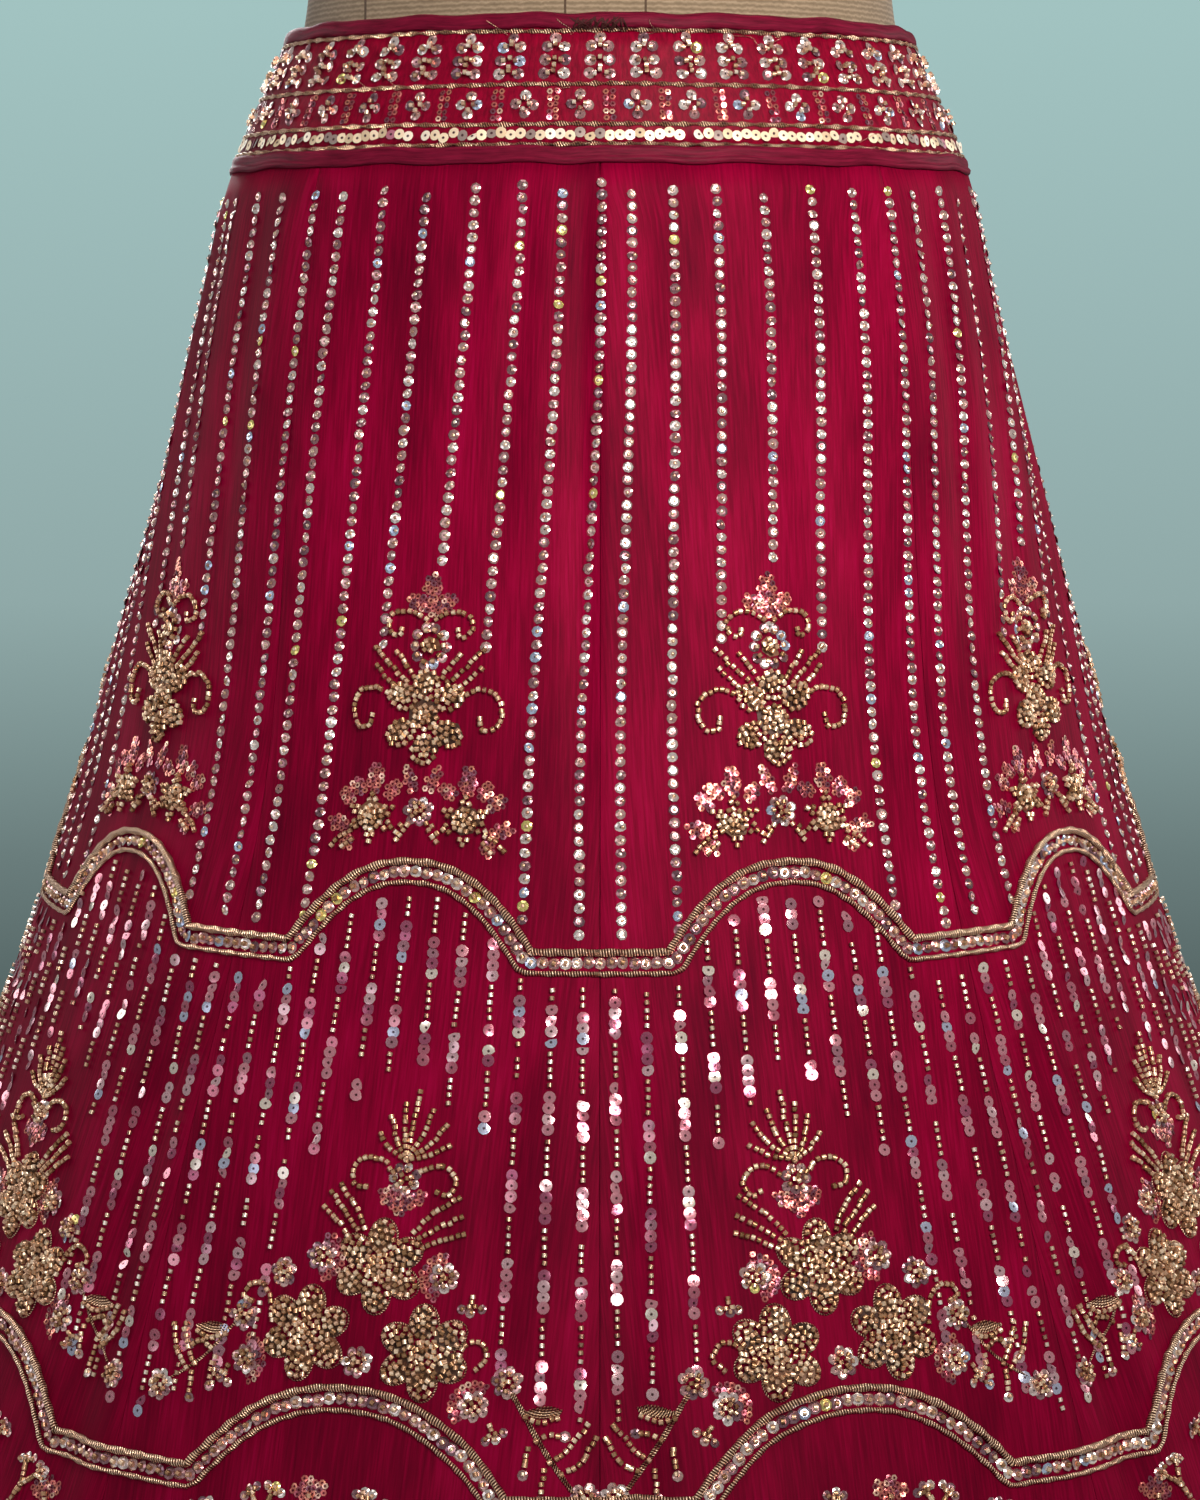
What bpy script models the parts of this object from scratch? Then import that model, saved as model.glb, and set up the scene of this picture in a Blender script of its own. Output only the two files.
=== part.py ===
"""Ten-panel lehenga skirt worn by a limbless dress form on a stand.

Metres, +Z up, front towards -Y. The origin is the centre of the stand's base on the floor.

The skirt is a ring of flared panels (kalis) hung from a fitted waistband. Every cloth piece is
read from one surface, skirt_point(), which gives the place on the skirt at an angle and a height:
an oval whose half width and half depth come from a short table of heights, with gathers under
the back of the waistband and soft flutes that open towards the hem.
"""

import math

import bmesh
import bpy
from mathutils import Vector

OBJECT_NAME = "lehenga_skirt_on_dress_form"

# Skirt: how it is cut.
PANELS = 10
PANEL_TURN = math.tau / PANELS
CLOTH = 0.002
SEAM_GAP = 0.0006
GAP = 0.0003

# Skirt: heights above the floor.
WAIST_TOP = 1.040
BAND_BOTTOM = 0.980
HEM = 0.010

# The oval of the skirt at each height: (height, half width, half depth).
SKIRT_OVALS = (
    (1.060, 0.1305, 0.1020),
    (1.040, 0.1375, 0.1075),
    (0.980, 0.1640, 0.1250),
    (0.930, 0.1765, 0.1395),
    (0.838, 0.1995, 0.1675),
    (0.742, 0.2270, 0.1975),
    (0.664, 0.2520, 0.2270),
    (0.570, 0.2870, 0.2640),
    (0.470, 0.3260, 0.3040),
    (0.300, 0.3960, 0.3720),
    (0.150, 0.4560, 0.4290),
    (0.010, 0.5060, 0.4760),
    (-0.060, 0.5300, 0.4990),
)

# The front panels lie flat and wide at the waist; the back ones are gathered to make up for it.
WAIST_SHIFT = math.radians(29)
SHIFT_ENDS = 0.700
GATHERS_A_PANEL = 2
GATHER_DEPTH = 0.0045
GATHER_FULL = 0.950
GATHER_ENDS = 0.760
GATHER_FROM = math.radians(62)
GATHER_TO = math.radians(125)

# Flutes: one a panel, standing out between the seams, of uneven depth.
FLUTE_DEPTH = 0.011
FLUTE_STARTS = 0.460
FLUTE_UNEVEN = 0.35

# Waistband, its bindings and the closure at the centre back.
BAND_WALL = 0.0025
BINDING_RADIUS = 0.0028
BINDING_IN = 0.0006
SLIT_HALF_WIDTH = 0.0006
ZIP_LENGTH = 0.180
ZIP_TAPE_WIDTH = 0.022
ZIP_TAPE_WALL = 0.0012
ZIP_TAPE_IN = 0.0012
ZIP_PULL_WIDTH = 0.005
ZIP_PULL_LENGTH = 0.016
ZIP_PULL_WALL = 0.0018

# Dress form: the oval at each height (height, half width, half depth, shift to the front).
FORM_OVALS = (
    (0.800, 0.1480, 0.1090, 0.000),
    (0.830, 0.1600, 0.1180, 0.000),
    (0.880, 0.1640, 0.1210, 0.000),
    (0.940, 0.1570, 0.1160, 0.000),
    (1.000, 0.1430, 0.1060, 0.000),
    (1.037, 0.1328, 0.1010, 0.000),
    (1.060, 0.1290, 0.0980, 0.000),
    (1.100, 0.1240, 0.0930, 0.002),
    (1.160, 0.1290, 0.0960, 0.005),
    (1.230, 0.1420, 0.1060, 0.009),
    (1.300, 0.1530, 0.1130, 0.010),
    (1.360, 0.1620, 0.1060, 0.005),
    (1.400, 0.1640, 0.0930, 0.000),
    (1.430, 0.1420, 0.0780, -0.004),
    (1.448, 0.1020, 0.0660, -0.006),
    (1.462, 0.0680, 0.0580, -0.006),
    (1.480, 0.0560, 0.0560, -0.006),
    (1.520, 0.0540, 0.0540, -0.006),
)
FORM_SIDES = 36
NECK_SHIFT = 0.006

# Stand: a round weighted base, a pole and the collars that hold it.
BASE_RADIUS = 0.170
BASE_RIM = 0.010
BASE_BOSS_RADIUS = 0.030
BASE_BOSS_TOP = 0.034
POLE_RADIUS = 0.016
COLLAR_RADIUS = 0.034
COLLAR_HEIGHT = 0.030
NECK_CAP_RADIUS = 0.050
NECK_CAP_TOP = 1.570

# How finely the faceted solids are cut.
PANEL_COLUMNS = 8
PANEL_ROWS = 13
ROW_CROWDING = 1.5
RING_STEPS = 56
TURNED_STEPS = 40

# Materials: (colour, roughness, metallic).
CRIMSON_NET = ((0.27, 0.004, 0.030, 1.0), 0.55, 0.0)
MAROON_SATIN = ((0.16, 0.010, 0.040, 1.0), 0.40, 0.0)
EMBROIDERED_BAND = ((0.30, 0.050, 0.050, 1.0), 0.50, 0.1)
LINEN = ((0.46, 0.38, 0.26, 1.0), 0.90, 0.0)
ZIP_TAPE_CLOTH = ((0.16, 0.006, 0.020, 1.0), 0.80, 0.0)
ZIP_METAL = ((0.55, 0.42, 0.22, 1.0), 0.35, 1.0)
STEEL = ((0.05, 0.05, 0.052, 1.0), 0.40, 0.8)
CAST_IRON = ((0.03, 0.03, 0.032, 1.0), 0.55, 0.6)
DARK_WOOD = ((0.10, 0.045, 0.020, 1.0), 0.45, 0.0)

FRONT, BACK = 0.0, math.pi


def clear_scene():
    """Remove whatever the file opened with."""
    for thing in list(bpy.context.scene.objects):
        bpy.data.objects.remove(thing, do_unlink=True)


def eased(value, low, high):
    """0 below low, 1 above high, and a smooth rise between them; low may be above high."""
    share = min(1.0, max(0.0, (value - low) / (high - low)))
    return share * share * (3.0 - 2.0 * share)


def read_ovals(table, height):
    """Every column of a table of ovals at a height, by a smooth curve through its rows."""
    rows = sorted(table)
    above = next((i for i, row in enumerate(rows) if row[0] >= height), len(rows) - 1)
    i = max(1, above)
    before, low, high = rows[max(0, i - 2)], rows[i - 1], rows[i]
    after = rows[min(len(rows) - 1, i + 1)]
    step = high[0] - low[0]
    share = min(1.0, max(0.0, (height - low[0]) / step))
    sizes = []
    for column in range(1, len(low)):
        slope_in = (high[column] - before[column]) / (high[0] - before[0]) * step
        slope_out = (after[column] - low[column]) / (after[0] - low[0]) * step
        two, three = share**2, share**3
        sizes.append(
            low[column] * (2 * three - 3 * two + 1)
            + slope_in * (three - 2 * two + share)
            + high[column] * (3 * two - 2 * three)
            + slope_out * (three - two)
        )
    return sizes


def turned_from_front(turn):
    """The same turn between -pi and pi, so that the sides mirror each other."""
    return (turn + math.pi) % math.tau - math.pi


def waist_turn(turn, height):
    """Where a turn counted in panels lies round the oval: wide in front, close at the back."""
    signed = turned_from_front(turn)
    shift = WAIST_SHIFT * math.sin(signed) ** 2 * eased(height, SHIFT_ENDS, BAND_BOTTOM)
    return turn + math.copysign(shift, signed)


def fold_depth(turn, height):
    """How far a gather or a flute stands out from the plain oval."""
    signed = abs(turned_from_front(turn))
    gathered = eased(signed, GATHER_FROM, GATHER_TO)
    gathered *= eased(height, GATHER_ENDS, GATHER_FULL) * eased(height, BAND_BOTTOM, GATHER_FULL)
    gather = -GATHER_DEPTH * gathered * math.cos(turn * PANELS * GATHERS_A_PANEL)
    opened = eased(height, FLUTE_STARTS, HEM)
    uneven = 1.0 + FLUTE_UNEVEN * math.sin(2.0 * signed + 0.9)
    flute = -FLUTE_DEPTH * opened * uneven * math.cos(turn * PANELS)
    return gather + flute


def skirt_surface(turn, height):
    """The skirt's outer surface, before anything is moved out from it."""
    half_width, half_depth = read_ovals(SKIRT_OVALS, height)
    folds = fold_depth(turn, height)
    round_oval = waist_turn(turn, height)
    across = (half_width + folds) * math.sin(round_oval)
    along = -(half_depth + folds) * math.cos(round_oval)
    return Vector((across, along, height))


def skirt_point(turn, height, out=0.0):
    """A place on the skirt, moved out along the surface's own direction."""
    small_turn, small_rise = 0.002, 0.001
    across = skirt_surface(turn + small_turn, height) - skirt_surface(turn - small_turn, height)
    up = skirt_surface(turn, height + small_rise) - skirt_surface(turn, height - small_rise)
    return skirt_surface(turn, height) + across.cross(up).normalized() * out


def turn_for_width(turn, height, width):
    """The turn that covers a width measured along the cloth at this place."""
    small = 0.002
    reach = skirt_surface(turn + small, height) - skirt_surface(turn - small, height)
    return width * 2 * small / reach.length


def steps_between(first, last, count):
    """count + 1 evenly spaced values from first to last."""
    return [first + (last - first) * i / count for i in range(count + 1)]


def material(name, look):
    """A Principled material of one colour, roughness and metallic value."""
    colour, roughness, metallic = look
    made = bpy.data.materials.new(name)
    made.use_nodes = True
    shader = made.node_tree.nodes["Principled BSDF"]
    shader.inputs["Base Color"].default_value = colour
    shader.inputs["Roughness"].default_value = roughness
    shader.inputs["Metallic"].default_value = metallic
    return made


def add_object(name, data, look):
    """Link a mesh or a curve into the object's collection, with its own material."""
    data.materials.append(look)
    made = bpy.data.objects.new(name, data)
    bpy.data.collections[OBJECT_NAME].objects.link(made)
    return made


def mesh_of(name, points, faces, smooth_below=40):
    """A mesh from points and faces, shaded smooth across its gentle edges."""
    made = bpy.data.meshes.new(name)
    made.from_pydata([tuple(point) for point in points], [], faces)
    made.validate()
    made.shade_smooth()
    made.set_sharp_from_angle(angle=math.radians(smooth_below))
    return made


def cloth_wall(name, columns, wall, look):
    """A piece of cloth from columns of outer points, given its wall inwards by Solidify."""
    rows = len(columns[0])
    points = [point for column in columns for point in column]
    faces = [
        (i * rows + j, (i + 1) * rows + j, (i + 1) * rows + j + 1, i * rows + j + 1)
        for i in range(len(columns) - 1)
        for j in range(rows - 1)
    ]
    made = add_object(name, mesh_of(name, points, faces), look)
    thickness = made.modifiers.new("Cloth", "SOLIDIFY")
    thickness.thickness = wall
    thickness.offset = -1.0
    thickness.use_even_offset = True
    return made


def panel_heights():
    """The rows of a panel, from the hem up, close together under the waistband."""
    top = BAND_BOTTOM - GAP
    return [
        top - (top - HEM) * (1.0 - i / PANEL_ROWS) ** ROW_CROWDING for i in range(PANEL_ROWS + 1)
    ]


def panel(number, look):
    """One flared kali between its two seams; the first one lies right of the centre front."""
    first, last = PANEL_TURN * (number - 1), PANEL_TURN * number
    heights = panel_heights()
    columns = []
    for i in range(PANEL_COLUMNS + 1):
        share = i / PANEL_COLUMNS
        column = []
        for height in heights:
            start = first + turn_for_width(first, height, SEAM_GAP / 2)
            end = last - turn_for_width(last, height, SEAM_GAP / 2)
            column.append(skirt_point(start + (end - start) * share, height))
        columns.append(column)
    return cloth_wall(f"panel_{number:02d}", columns, CLOTH, look)


def band_turns():
    """Turns round the waist from one side of the back slit to the other."""
    slit = turn_for_width(BACK, WAIST_TOP, SLIT_HALF_WIDTH)
    return steps_between(-BACK + slit, BACK - slit, RING_STEPS)


def waistband(look):
    """The embroidered band: a fitted ring, open at the slit of the centre back."""
    low = BAND_BOTTOM + 2 * BINDING_RADIUS + GAP
    high = WAIST_TOP - 2 * BINDING_RADIUS - GAP
    columns = [
        [skirt_point(turn, height) for height in steps_between(low, high, 2)]
        for turn in band_turns()
    ]
    return cloth_wall("waistband", columns, BAND_WALL, look)


def binding(name, height, look):
    """A rolled satin edge round the waist, in the plane of its seam."""
    made = bpy.data.curves.new(name, "CURVE")
    made.dimensions = "3D"
    made.bevel_depth = BINDING_RADIUS
    made.bevel_resolution = 1
    made.use_fill_caps = True
    made.render_resolution_u = 0
    route = [skirt_point(turn, height, -BINDING_IN) for turn in band_turns()]
    line = made.splines.new("POLY")
    line.points.add(len(route) - 1)
    for point, place in zip(line.points, route):
        point.co = (*place, 1.0)
    return add_object(name, made, look)


def back_strip(name, width, low, high, out, wall, look):
    """A narrow strip along the centre back, moved in or out from the band's surface."""
    columns = []
    for side in steps_between(-0.5, 0.5, 2):
        column = []
        for height in steps_between(low, high, 4):
            turn = BACK + side * turn_for_width(BACK, height, width)
            column.append(skirt_point(turn, height, out))
        columns.append(column)
    return cloth_wall(name, columns, wall, look)


def turned(name, profile, look):
    """A shape turned about the stand's axis from (radius, height) points, top to bottom."""
    made = bpy.data.meshes.new(name)
    points = [(radius, 0.0, height) for radius, height in profile]
    made.from_pydata(points, [(i, i + 1) for i in range(len(points) - 1)], [])
    piece = add_object(name, made, look)
    screw = piece.modifiers.new("Turn", "SCREW")
    screw.steps = screw.render_steps = TURNED_STEPS
    screw.use_merge_vertices = True
    screw.merge_threshold = 0.00001
    return piece


def form_ring(mesh, height):
    """One oval section of the dress form."""
    half_width, half_depth, forward = read_ovals(FORM_OVALS, height)
    ring = []
    for i in range(FORM_SIDES):
        turn = math.tau * i / FORM_SIDES
        place = (half_width * math.sin(turn), -half_depth * math.cos(turn) - forward, height)
        ring.append(mesh.verts.new(place))
    return ring


def form_torso(look):
    """The smooth body of the dress form, lofted through its oval sections and closed."""
    mesh = bmesh.new()
    rings = [form_ring(mesh, row[0]) for row in FORM_OVALS]
    for low, high in zip(rings, rings[1:]):
        for i in range(FORM_SIDES):
            j = (i + 1) % FORM_SIDES
            mesh.faces.new((low[i], low[j], high[j], high[i]))
    mesh.faces.new(rings[0])
    mesh.faces.new(rings[-1])
    bmesh.ops.recalc_face_normals(mesh, faces=mesh.faces)
    made = bpy.data.meshes.new("form_torso")
    mesh.to_mesh(made)
    mesh.free()
    made.shade_smooth()
    made.set_sharp_from_angle(angle=math.radians(45))
    return add_object("form_torso", made, look)


def stand_pole(low, high, look):
    """The plain steel pole between the base's boss and the collar under the form."""
    bpy.ops.mesh.primitive_cylinder_add(
        vertices=24, radius=POLE_RADIUS, depth=high - low, location=(0, 0, (low + high) / 2)
    )
    pole = bpy.context.active_object
    pole.name = pole.data.name = "stand_pole"
    for holder in list(pole.users_collection):
        holder.objects.unlink(pole)
    bpy.data.collections[OBJECT_NAME].objects.link(pole)
    pole.data.materials.append(look)
    pole.data.shade_smooth()
    pole.data.set_sharp_from_angle(angle=math.radians(40))
    return pole


def build_skirt():
    """All that is cut and sewn: ten panels, the band, its two bindings and the zip."""
    net = material("crimson_net", CRIMSON_NET)
    satin = material("maroon_satin", MAROON_SATIN)
    tape = material("zip_tape", ZIP_TAPE_CLOTH)
    metal = material("zip_metal", ZIP_METAL)
    for number in range(1, PANELS + 1):
        panel(number, net)
    waistband(material("embroidered_band", EMBROIDERED_BAND))
    binding("waist_binding", WAIST_TOP - BINDING_RADIUS, satin)
    binding("band_lower_binding", BAND_BOTTOM + BINDING_RADIUS, satin)
    tape_out = -BINDING_IN - BINDING_RADIUS - ZIP_TAPE_IN
    tape_top = WAIST_TOP - 2 * BINDING_RADIUS - 3 * GAP
    back_strip(
        "zip_tape", ZIP_TAPE_WIDTH, WAIST_TOP - ZIP_LENGTH, tape_top, tape_out, ZIP_TAPE_WALL, tape
    )
    pull_top = WAIST_TOP - 2 * BINDING_RADIUS - 4 * GAP
    pull_out = 2 * GAP + ZIP_PULL_WALL
    back_strip(
        "zip_pull",
        ZIP_PULL_WIDTH,
        pull_top - ZIP_PULL_LENGTH,
        pull_top,
        pull_out,
        ZIP_PULL_WALL,
        metal,
    )


def build_dress_form():
    """What the skirt rests on: torso, neck cap, collar, pole and base."""
    steel = material("black_steel", STEEL)
    wood = material("dark_wood", DARK_WOOD)
    form_torso(material("linen", LINEN))
    form_bottom, neck_top = FORM_OVALS[0][0], FORM_OVALS[-1][0]
    collar_top = form_bottom - GAP
    collar_bottom = collar_top - COLLAR_HEIGHT
    turned(
        "form_collar",
        (
            (0.0, collar_top),
            (COLLAR_RADIUS, collar_top),
            (COLLAR_RADIUS, collar_top - 0.006),
            (POLE_RADIUS + 0.006, collar_top - 0.012),
            (POLE_RADIUS + 0.006, collar_bottom),
            (0.0, collar_bottom),
        ),
        steel,
    )
    cap = turned(
        "neck_cap",
        (
            (0.0, NECK_CAP_TOP),
            (0.008, NECK_CAP_TOP - 0.002),
            (0.013, NECK_CAP_TOP - 0.010),
            (0.010, NECK_CAP_TOP - 0.022),
            (0.022, NECK_CAP_TOP - 0.034),
            (NECK_CAP_RADIUS - 0.004, neck_top + 0.011),
            (NECK_CAP_RADIUS, neck_top + 0.007),
            (NECK_CAP_RADIUS, neck_top + GAP),
            (0.0, neck_top + GAP),
        ),
        wood,
    )
    cap.location.y = NECK_SHIFT
    stand_pole(BASE_BOSS_TOP + GAP, collar_bottom - GAP, steel)
    turned(
        "stand_base",
        (
            (0.0, BASE_BOSS_TOP),
            (BASE_BOSS_RADIUS - 0.008, BASE_BOSS_TOP),
            (BASE_BOSS_RADIUS - 0.002, BASE_BOSS_TOP - 0.006),
            (BASE_BOSS_RADIUS, BASE_RIM + 0.010),
            (BASE_RADIUS * 0.55, BASE_RIM + 0.006),
            (BASE_RADIUS - 0.006, BASE_RIM),
            (BASE_RADIUS, BASE_RIM - 0.004),
            (BASE_RADIUS, 0.0),
            (0.0, 0.0),
        ),
        material("cast_iron", CAST_IRON),
    )


def main():
    """Build the skirt and the dress form in one collection."""
    clear_scene()
    collection = bpy.data.collections.new(OBJECT_NAME)
    bpy.context.scene.collection.children.link(collection)
    build_skirt()
    build_dress_form()


main()
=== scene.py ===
# %% [markdown]
# # A beaded lehenga skirt on a dress form
#
# A lehenga is a floor-length skirt sewn from flared panels, called kalis, and worn low on the
# waist. This one is crimson net over satin, worked by hand with sequins, seed beads and zari, a
# gilt thread. We build it as it is made: first the cloth, then every sequin laid on the cloth.

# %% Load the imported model
import math

import bpy
import numpy as np
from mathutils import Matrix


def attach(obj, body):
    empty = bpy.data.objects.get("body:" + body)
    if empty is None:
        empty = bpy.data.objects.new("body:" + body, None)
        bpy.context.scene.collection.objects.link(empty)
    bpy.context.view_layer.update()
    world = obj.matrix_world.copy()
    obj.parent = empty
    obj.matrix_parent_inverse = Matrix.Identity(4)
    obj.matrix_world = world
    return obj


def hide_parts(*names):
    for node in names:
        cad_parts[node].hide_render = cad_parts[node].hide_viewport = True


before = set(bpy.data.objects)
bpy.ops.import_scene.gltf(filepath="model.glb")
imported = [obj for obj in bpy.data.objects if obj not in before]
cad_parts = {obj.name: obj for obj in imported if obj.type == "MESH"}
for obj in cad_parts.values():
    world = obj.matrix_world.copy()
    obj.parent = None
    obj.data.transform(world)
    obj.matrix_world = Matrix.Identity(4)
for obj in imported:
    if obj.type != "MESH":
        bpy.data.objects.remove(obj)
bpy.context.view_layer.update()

# %% [markdown]
# ## One surface for everything
#
# Cloth, sequins and beads could each be placed by eye, but then they would part wherever the
# cloth folds. So one function gives the skirt's surface at a turn round the body and a height,
# and everything is read from it. The turn is counted so that a kali is always a tenth of it.

# %% Named sizes, in metres
PANELS = 10
PANEL_TURN = math.tau / PANELS
WAIST_TOP = 1.040
BAND_BOTTOM = 0.980
HEM = 0.010
CLOTH = 0.0012
MM = 0.001

# Each row: height, half width, half depth.
OVALS = np.array([
    (-0.060, 0.5300, 0.4990), (0.010, 0.5060, 0.4760), (0.150, 0.4560, 0.4290),
    (0.300, 0.3960, 0.3720), (0.470, 0.3260, 0.3040), (0.570, 0.2870, 0.2640),
    (0.664, 0.2520, 0.2270), (0.742, 0.2270, 0.1975), (0.838, 0.1995, 0.1675),
    (0.930, 0.1765, 0.1395), (0.980, 0.1640, 0.1250), (1.040, 0.1375, 0.1075),
    (1.060, 0.1305, 0.1020),
])
WAIST_SHIFT, SHIFT_ENDS = math.radians(29), 0.700
GATHERS_A_PANEL, GATHER_DEPTH, GATHER_FULL, GATHER_ENDS = 2, 0.0045, 0.950, 0.760
GATHER_FROM, GATHER_TO = math.radians(62), math.radians(125)
FLUTE_DEPTH, FLUTE_STARTS, FLUTE_UNEVEN, FLUTE_PHASE = 0.011, 0.460, 0.35, 0.9


# %% The plain skirt: an oval at every height
def eased(value, low, high):
    """0 below low, 1 above high, and the curve 3t^2 - 2t^3 between them."""
    share = np.clip((value - low) / (high - low), 0.0, 1.0)
    return share * share * (3.0 - 2.0 * share)


def oval_at(table, height):
    """Columns of a table at any heights: a cubic between two rows, with each row's slope taken
    from the rows on its two sides."""
    rows = table[:, 0]
    high = np.clip(np.searchsorted(rows, height), 1, len(rows) - 1)
    low, before = high - 1, np.maximum(high - 2, 0)
    after = np.minimum(high + 1, len(rows) - 1)
    step = rows[high] - rows[low]
    share = np.clip((height - rows[low]) / step, 0.0, 1.0)[..., None]
    sizes = table[:, 1:]
    slope_low = (sizes[high] - sizes[before]) * (step / (rows[high] - rows[before]))[..., None]
    slope_high = (sizes[after] - sizes[low]) * (step / (rows[after] - rows[low]))[..., None]
    two, three = share**2, share**3
    return (
        sizes[low] * (2 * three - 3 * two + 1)
        + slope_low * (three - 2 * two + share)
        + sizes[high] * (3 * two - 2 * three)
        + slope_high * (three - two)
    )


def mean_radius(height):
    """The mean of the oval's half sizes."""
    return oval_at(OVALS, height).mean(axis=-1)


def signed_turn(turn):
    """The same turn between -pi and pi, so that both sides can mirror each other."""
    return (turn + math.pi) % math.tau - math.pi


def folds(turn, height):
    """Gathers under the back of the band and flutes that open towards the hem: cosines of the
    turn, each faded in and out by height."""
    signed = np.abs(signed_turn(turn))
    gathered = eased(signed, GATHER_FROM, GATHER_TO) * eased(height, GATHER_ENDS, GATHER_FULL)
    gathered = gathered * eased(height, BAND_BOTTOM, GATHER_FULL)
    gather = -GATHER_DEPTH * gathered * np.cos(turn * PANELS * GATHERS_A_PANEL)
    uneven = 1.0 + FLUTE_UNEVEN * np.sin(2.0 * signed + FLUTE_PHASE)
    flute = -FLUTE_DEPTH * eased(height, FLUTE_STARTS, HEM) * uneven * np.cos(turn * PANELS)
    return gather + flute


# %% [markdown]
# ## Creases
#
# Cloth that hangs from a band never falls perfectly smooth: it keeps a few long, soft troughs
# with a ridge beside each. A simulation would give them at random. Here they are listed one row
# each, so that they fall where this skirt's do and are uneven in length and depth.

# %% The main creases, placed one by one
# Each row: panels from the centre front, top, bottom, depth mm, half width mm, lean in panels.
CREASES = np.array([
    (-0.07, 1.000, 0.680, 2.6, 4.5, 0.02), (-0.26, 1.000, 0.800, 1.8, 4.0, -0.05),
    (-0.40, 1.000, 0.870, 1.4, 3.5, -0.04), (0.16, 1.000, 0.760, 1.1, 5.0, 0.02),
    (0.62, 0.930, 0.640, 1.6, 10.0, 0.06), (-0.72, 0.960, 0.650, 1.5, 9.0, -0.06),
    (1.18, 1.000, 0.740, 2.0, 6.0, 0.05), (1.42, 1.000, 0.690, 2.4, 6.0, 0.08),
    (-1.22, 1.000, 0.780, 1.6, 6.0, -0.05), (-1.55, 1.000, 0.700, 2.0, 7.0, -0.06),
    (1.80, 1.000, 0.720, 2.2, 6.0, 0.05), (-1.86, 1.000, 0.760, 2.2, 6.0, -0.04),
    (2.35, 1.000, 0.700, 2.4, 7.0, 0.03), (-2.30, 1.000, 0.650, 2.4, 7.0, -0.04),
    (0.05, 0.660, 0.380, 2.8, 8.0, 0.03), (0.30, 0.640, 0.420, 1.6, 9.0, 0.02),
    (-0.22, 0.650, 0.400, 1.8, 9.0, -0.03), (-0.75, 0.600, 0.300, 1.8, 12.0, -0.03),
    (0.82, 0.620, 0.330, 1.8, 12.0, 0.04), (1.10, 0.640, 0.300, 2.4, 10.0, 0.02),
    (-1.12, 0.640, 0.280, 2.4, 10.0, -0.03), (1.60, 0.520, 0.120, 2.8, 14.0, 0.04),
    (-1.64, 0.480, 0.100, 2.8, 14.0, -0.03), (2.70, 0.560, 0.150, 2.6, 13.0, 0.03),
    (-2.75, 0.600, 0.200, 2.6, 13.0, -0.02), (3.20, 0.900, 0.420, 2.4, 8.0, 0.02),
    (-3.15, 0.860, 0.380, 2.2, 8.0, -0.03), (3.62, 0.520, 0.100, 3.0, 14.0, 0.03),
    (-3.58, 0.560, 0.140, 3.0, 14.0, -0.02), (4.30, 0.880, 0.350, 2.2, 9.0, 0.02),
    (-4.26, 0.840, 0.300, 2.4, 9.0, -0.03), (4.80, 0.500, 0.080, 2.8, 14.0, 0.02),
    (-4.70, 0.540, 0.110, 2.6, 14.0, -0.02),
])


RIDGE_HEIGHT, RIDGE_ASIDE = 0.5, 2.0
FADE_SHARE, FADE_TOP, FADE_UNDER_BAND = 0.35, 0.04, 0.03


def creases(turn, height):
    """Sum over the creases of a trough, depth times exp(-(d/w)^2) at distance d from its line,
    and a ridge of half that depth two widths to its side, faded at both ends."""
    place, top, bottom, depth, wide, lean = (column[:, None] for column in CREASES.T)
    shape = np.broadcast(turn, height).shape
    turn = np.broadcast_to(turn, shape).ravel()[None]
    height = np.broadcast_to(height, shape).ravel()[None]
    line = (place + lean * (top - height) / (top - bottom)) * PANEL_TURN
    away = signed_turn(turn - line) * mean_radius(height[0]) / (wide * MM)
    faded = eased(height, bottom, bottom + FADE_SHARE * (top - bottom))
    faded = faded * eased(height, top, top - FADE_TOP)
    profile = -np.exp(-(away**2)) + RIDGE_HEIGHT * np.exp(-((away - RIDGE_ASIDE) ** 2))
    total = (depth * MM * faded * profile).sum(axis=0).reshape(shape)
    return total * eased(height.reshape(shape), BAND_BOTTOM, BAND_BOTTOM - FADE_UNDER_BAND)


# %% The finished surface and the directions along it
SMALL_TURN, SMALL_RISE = 0.0015, 0.0008


def skirt(turn, height):
    """x = (a + d) sin t and y = -(b + d) cos t, where a and b are the oval's half sizes, d sums
    the folds and creases, and t is the turn, shifted at the waist so that the front panels lie
    wide and flat and the back ones close."""
    turn, height = np.broadcast_arrays(np.asarray(turn, float), np.asarray(height, float))
    half = oval_at(OVALS, height)
    stands = folds(turn, height) + creases(turn, height)
    signed = signed_turn(turn)
    shift = WAIST_SHIFT * np.sin(signed) ** 2 * eased(height, SHIFT_ENDS, BAND_BOTTOM)
    t = turn + np.sign(signed) * shift
    across = (half[..., 0] + stands) * np.sin(t)
    along = -(half[..., 1] + stands) * np.cos(t)
    return np.stack([across, along, height], axis=-1)


def unit(vectors):
    """Each vector divided by its length."""
    return vectors / np.linalg.norm(vectors, axis=-1, keepdims=True)


def directions(turn, height):
    """Unit directions across, up and out of the cloth, from small steps along the surface."""
    across = unit(skirt(turn + SMALL_TURN, height) - skirt(turn - SMALL_TURN, height))
    up = skirt(turn, height + SMALL_RISE) - skirt(turn, height - SMALL_RISE)
    out = unit(np.cross(across, up))
    return across, np.cross(out, across), out


def off_skirt(turn, height, out):
    """The skirt's point moved straight out of the cloth."""
    return skirt(turn, height) + directions(turn, height)[2] * out[..., None]


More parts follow.
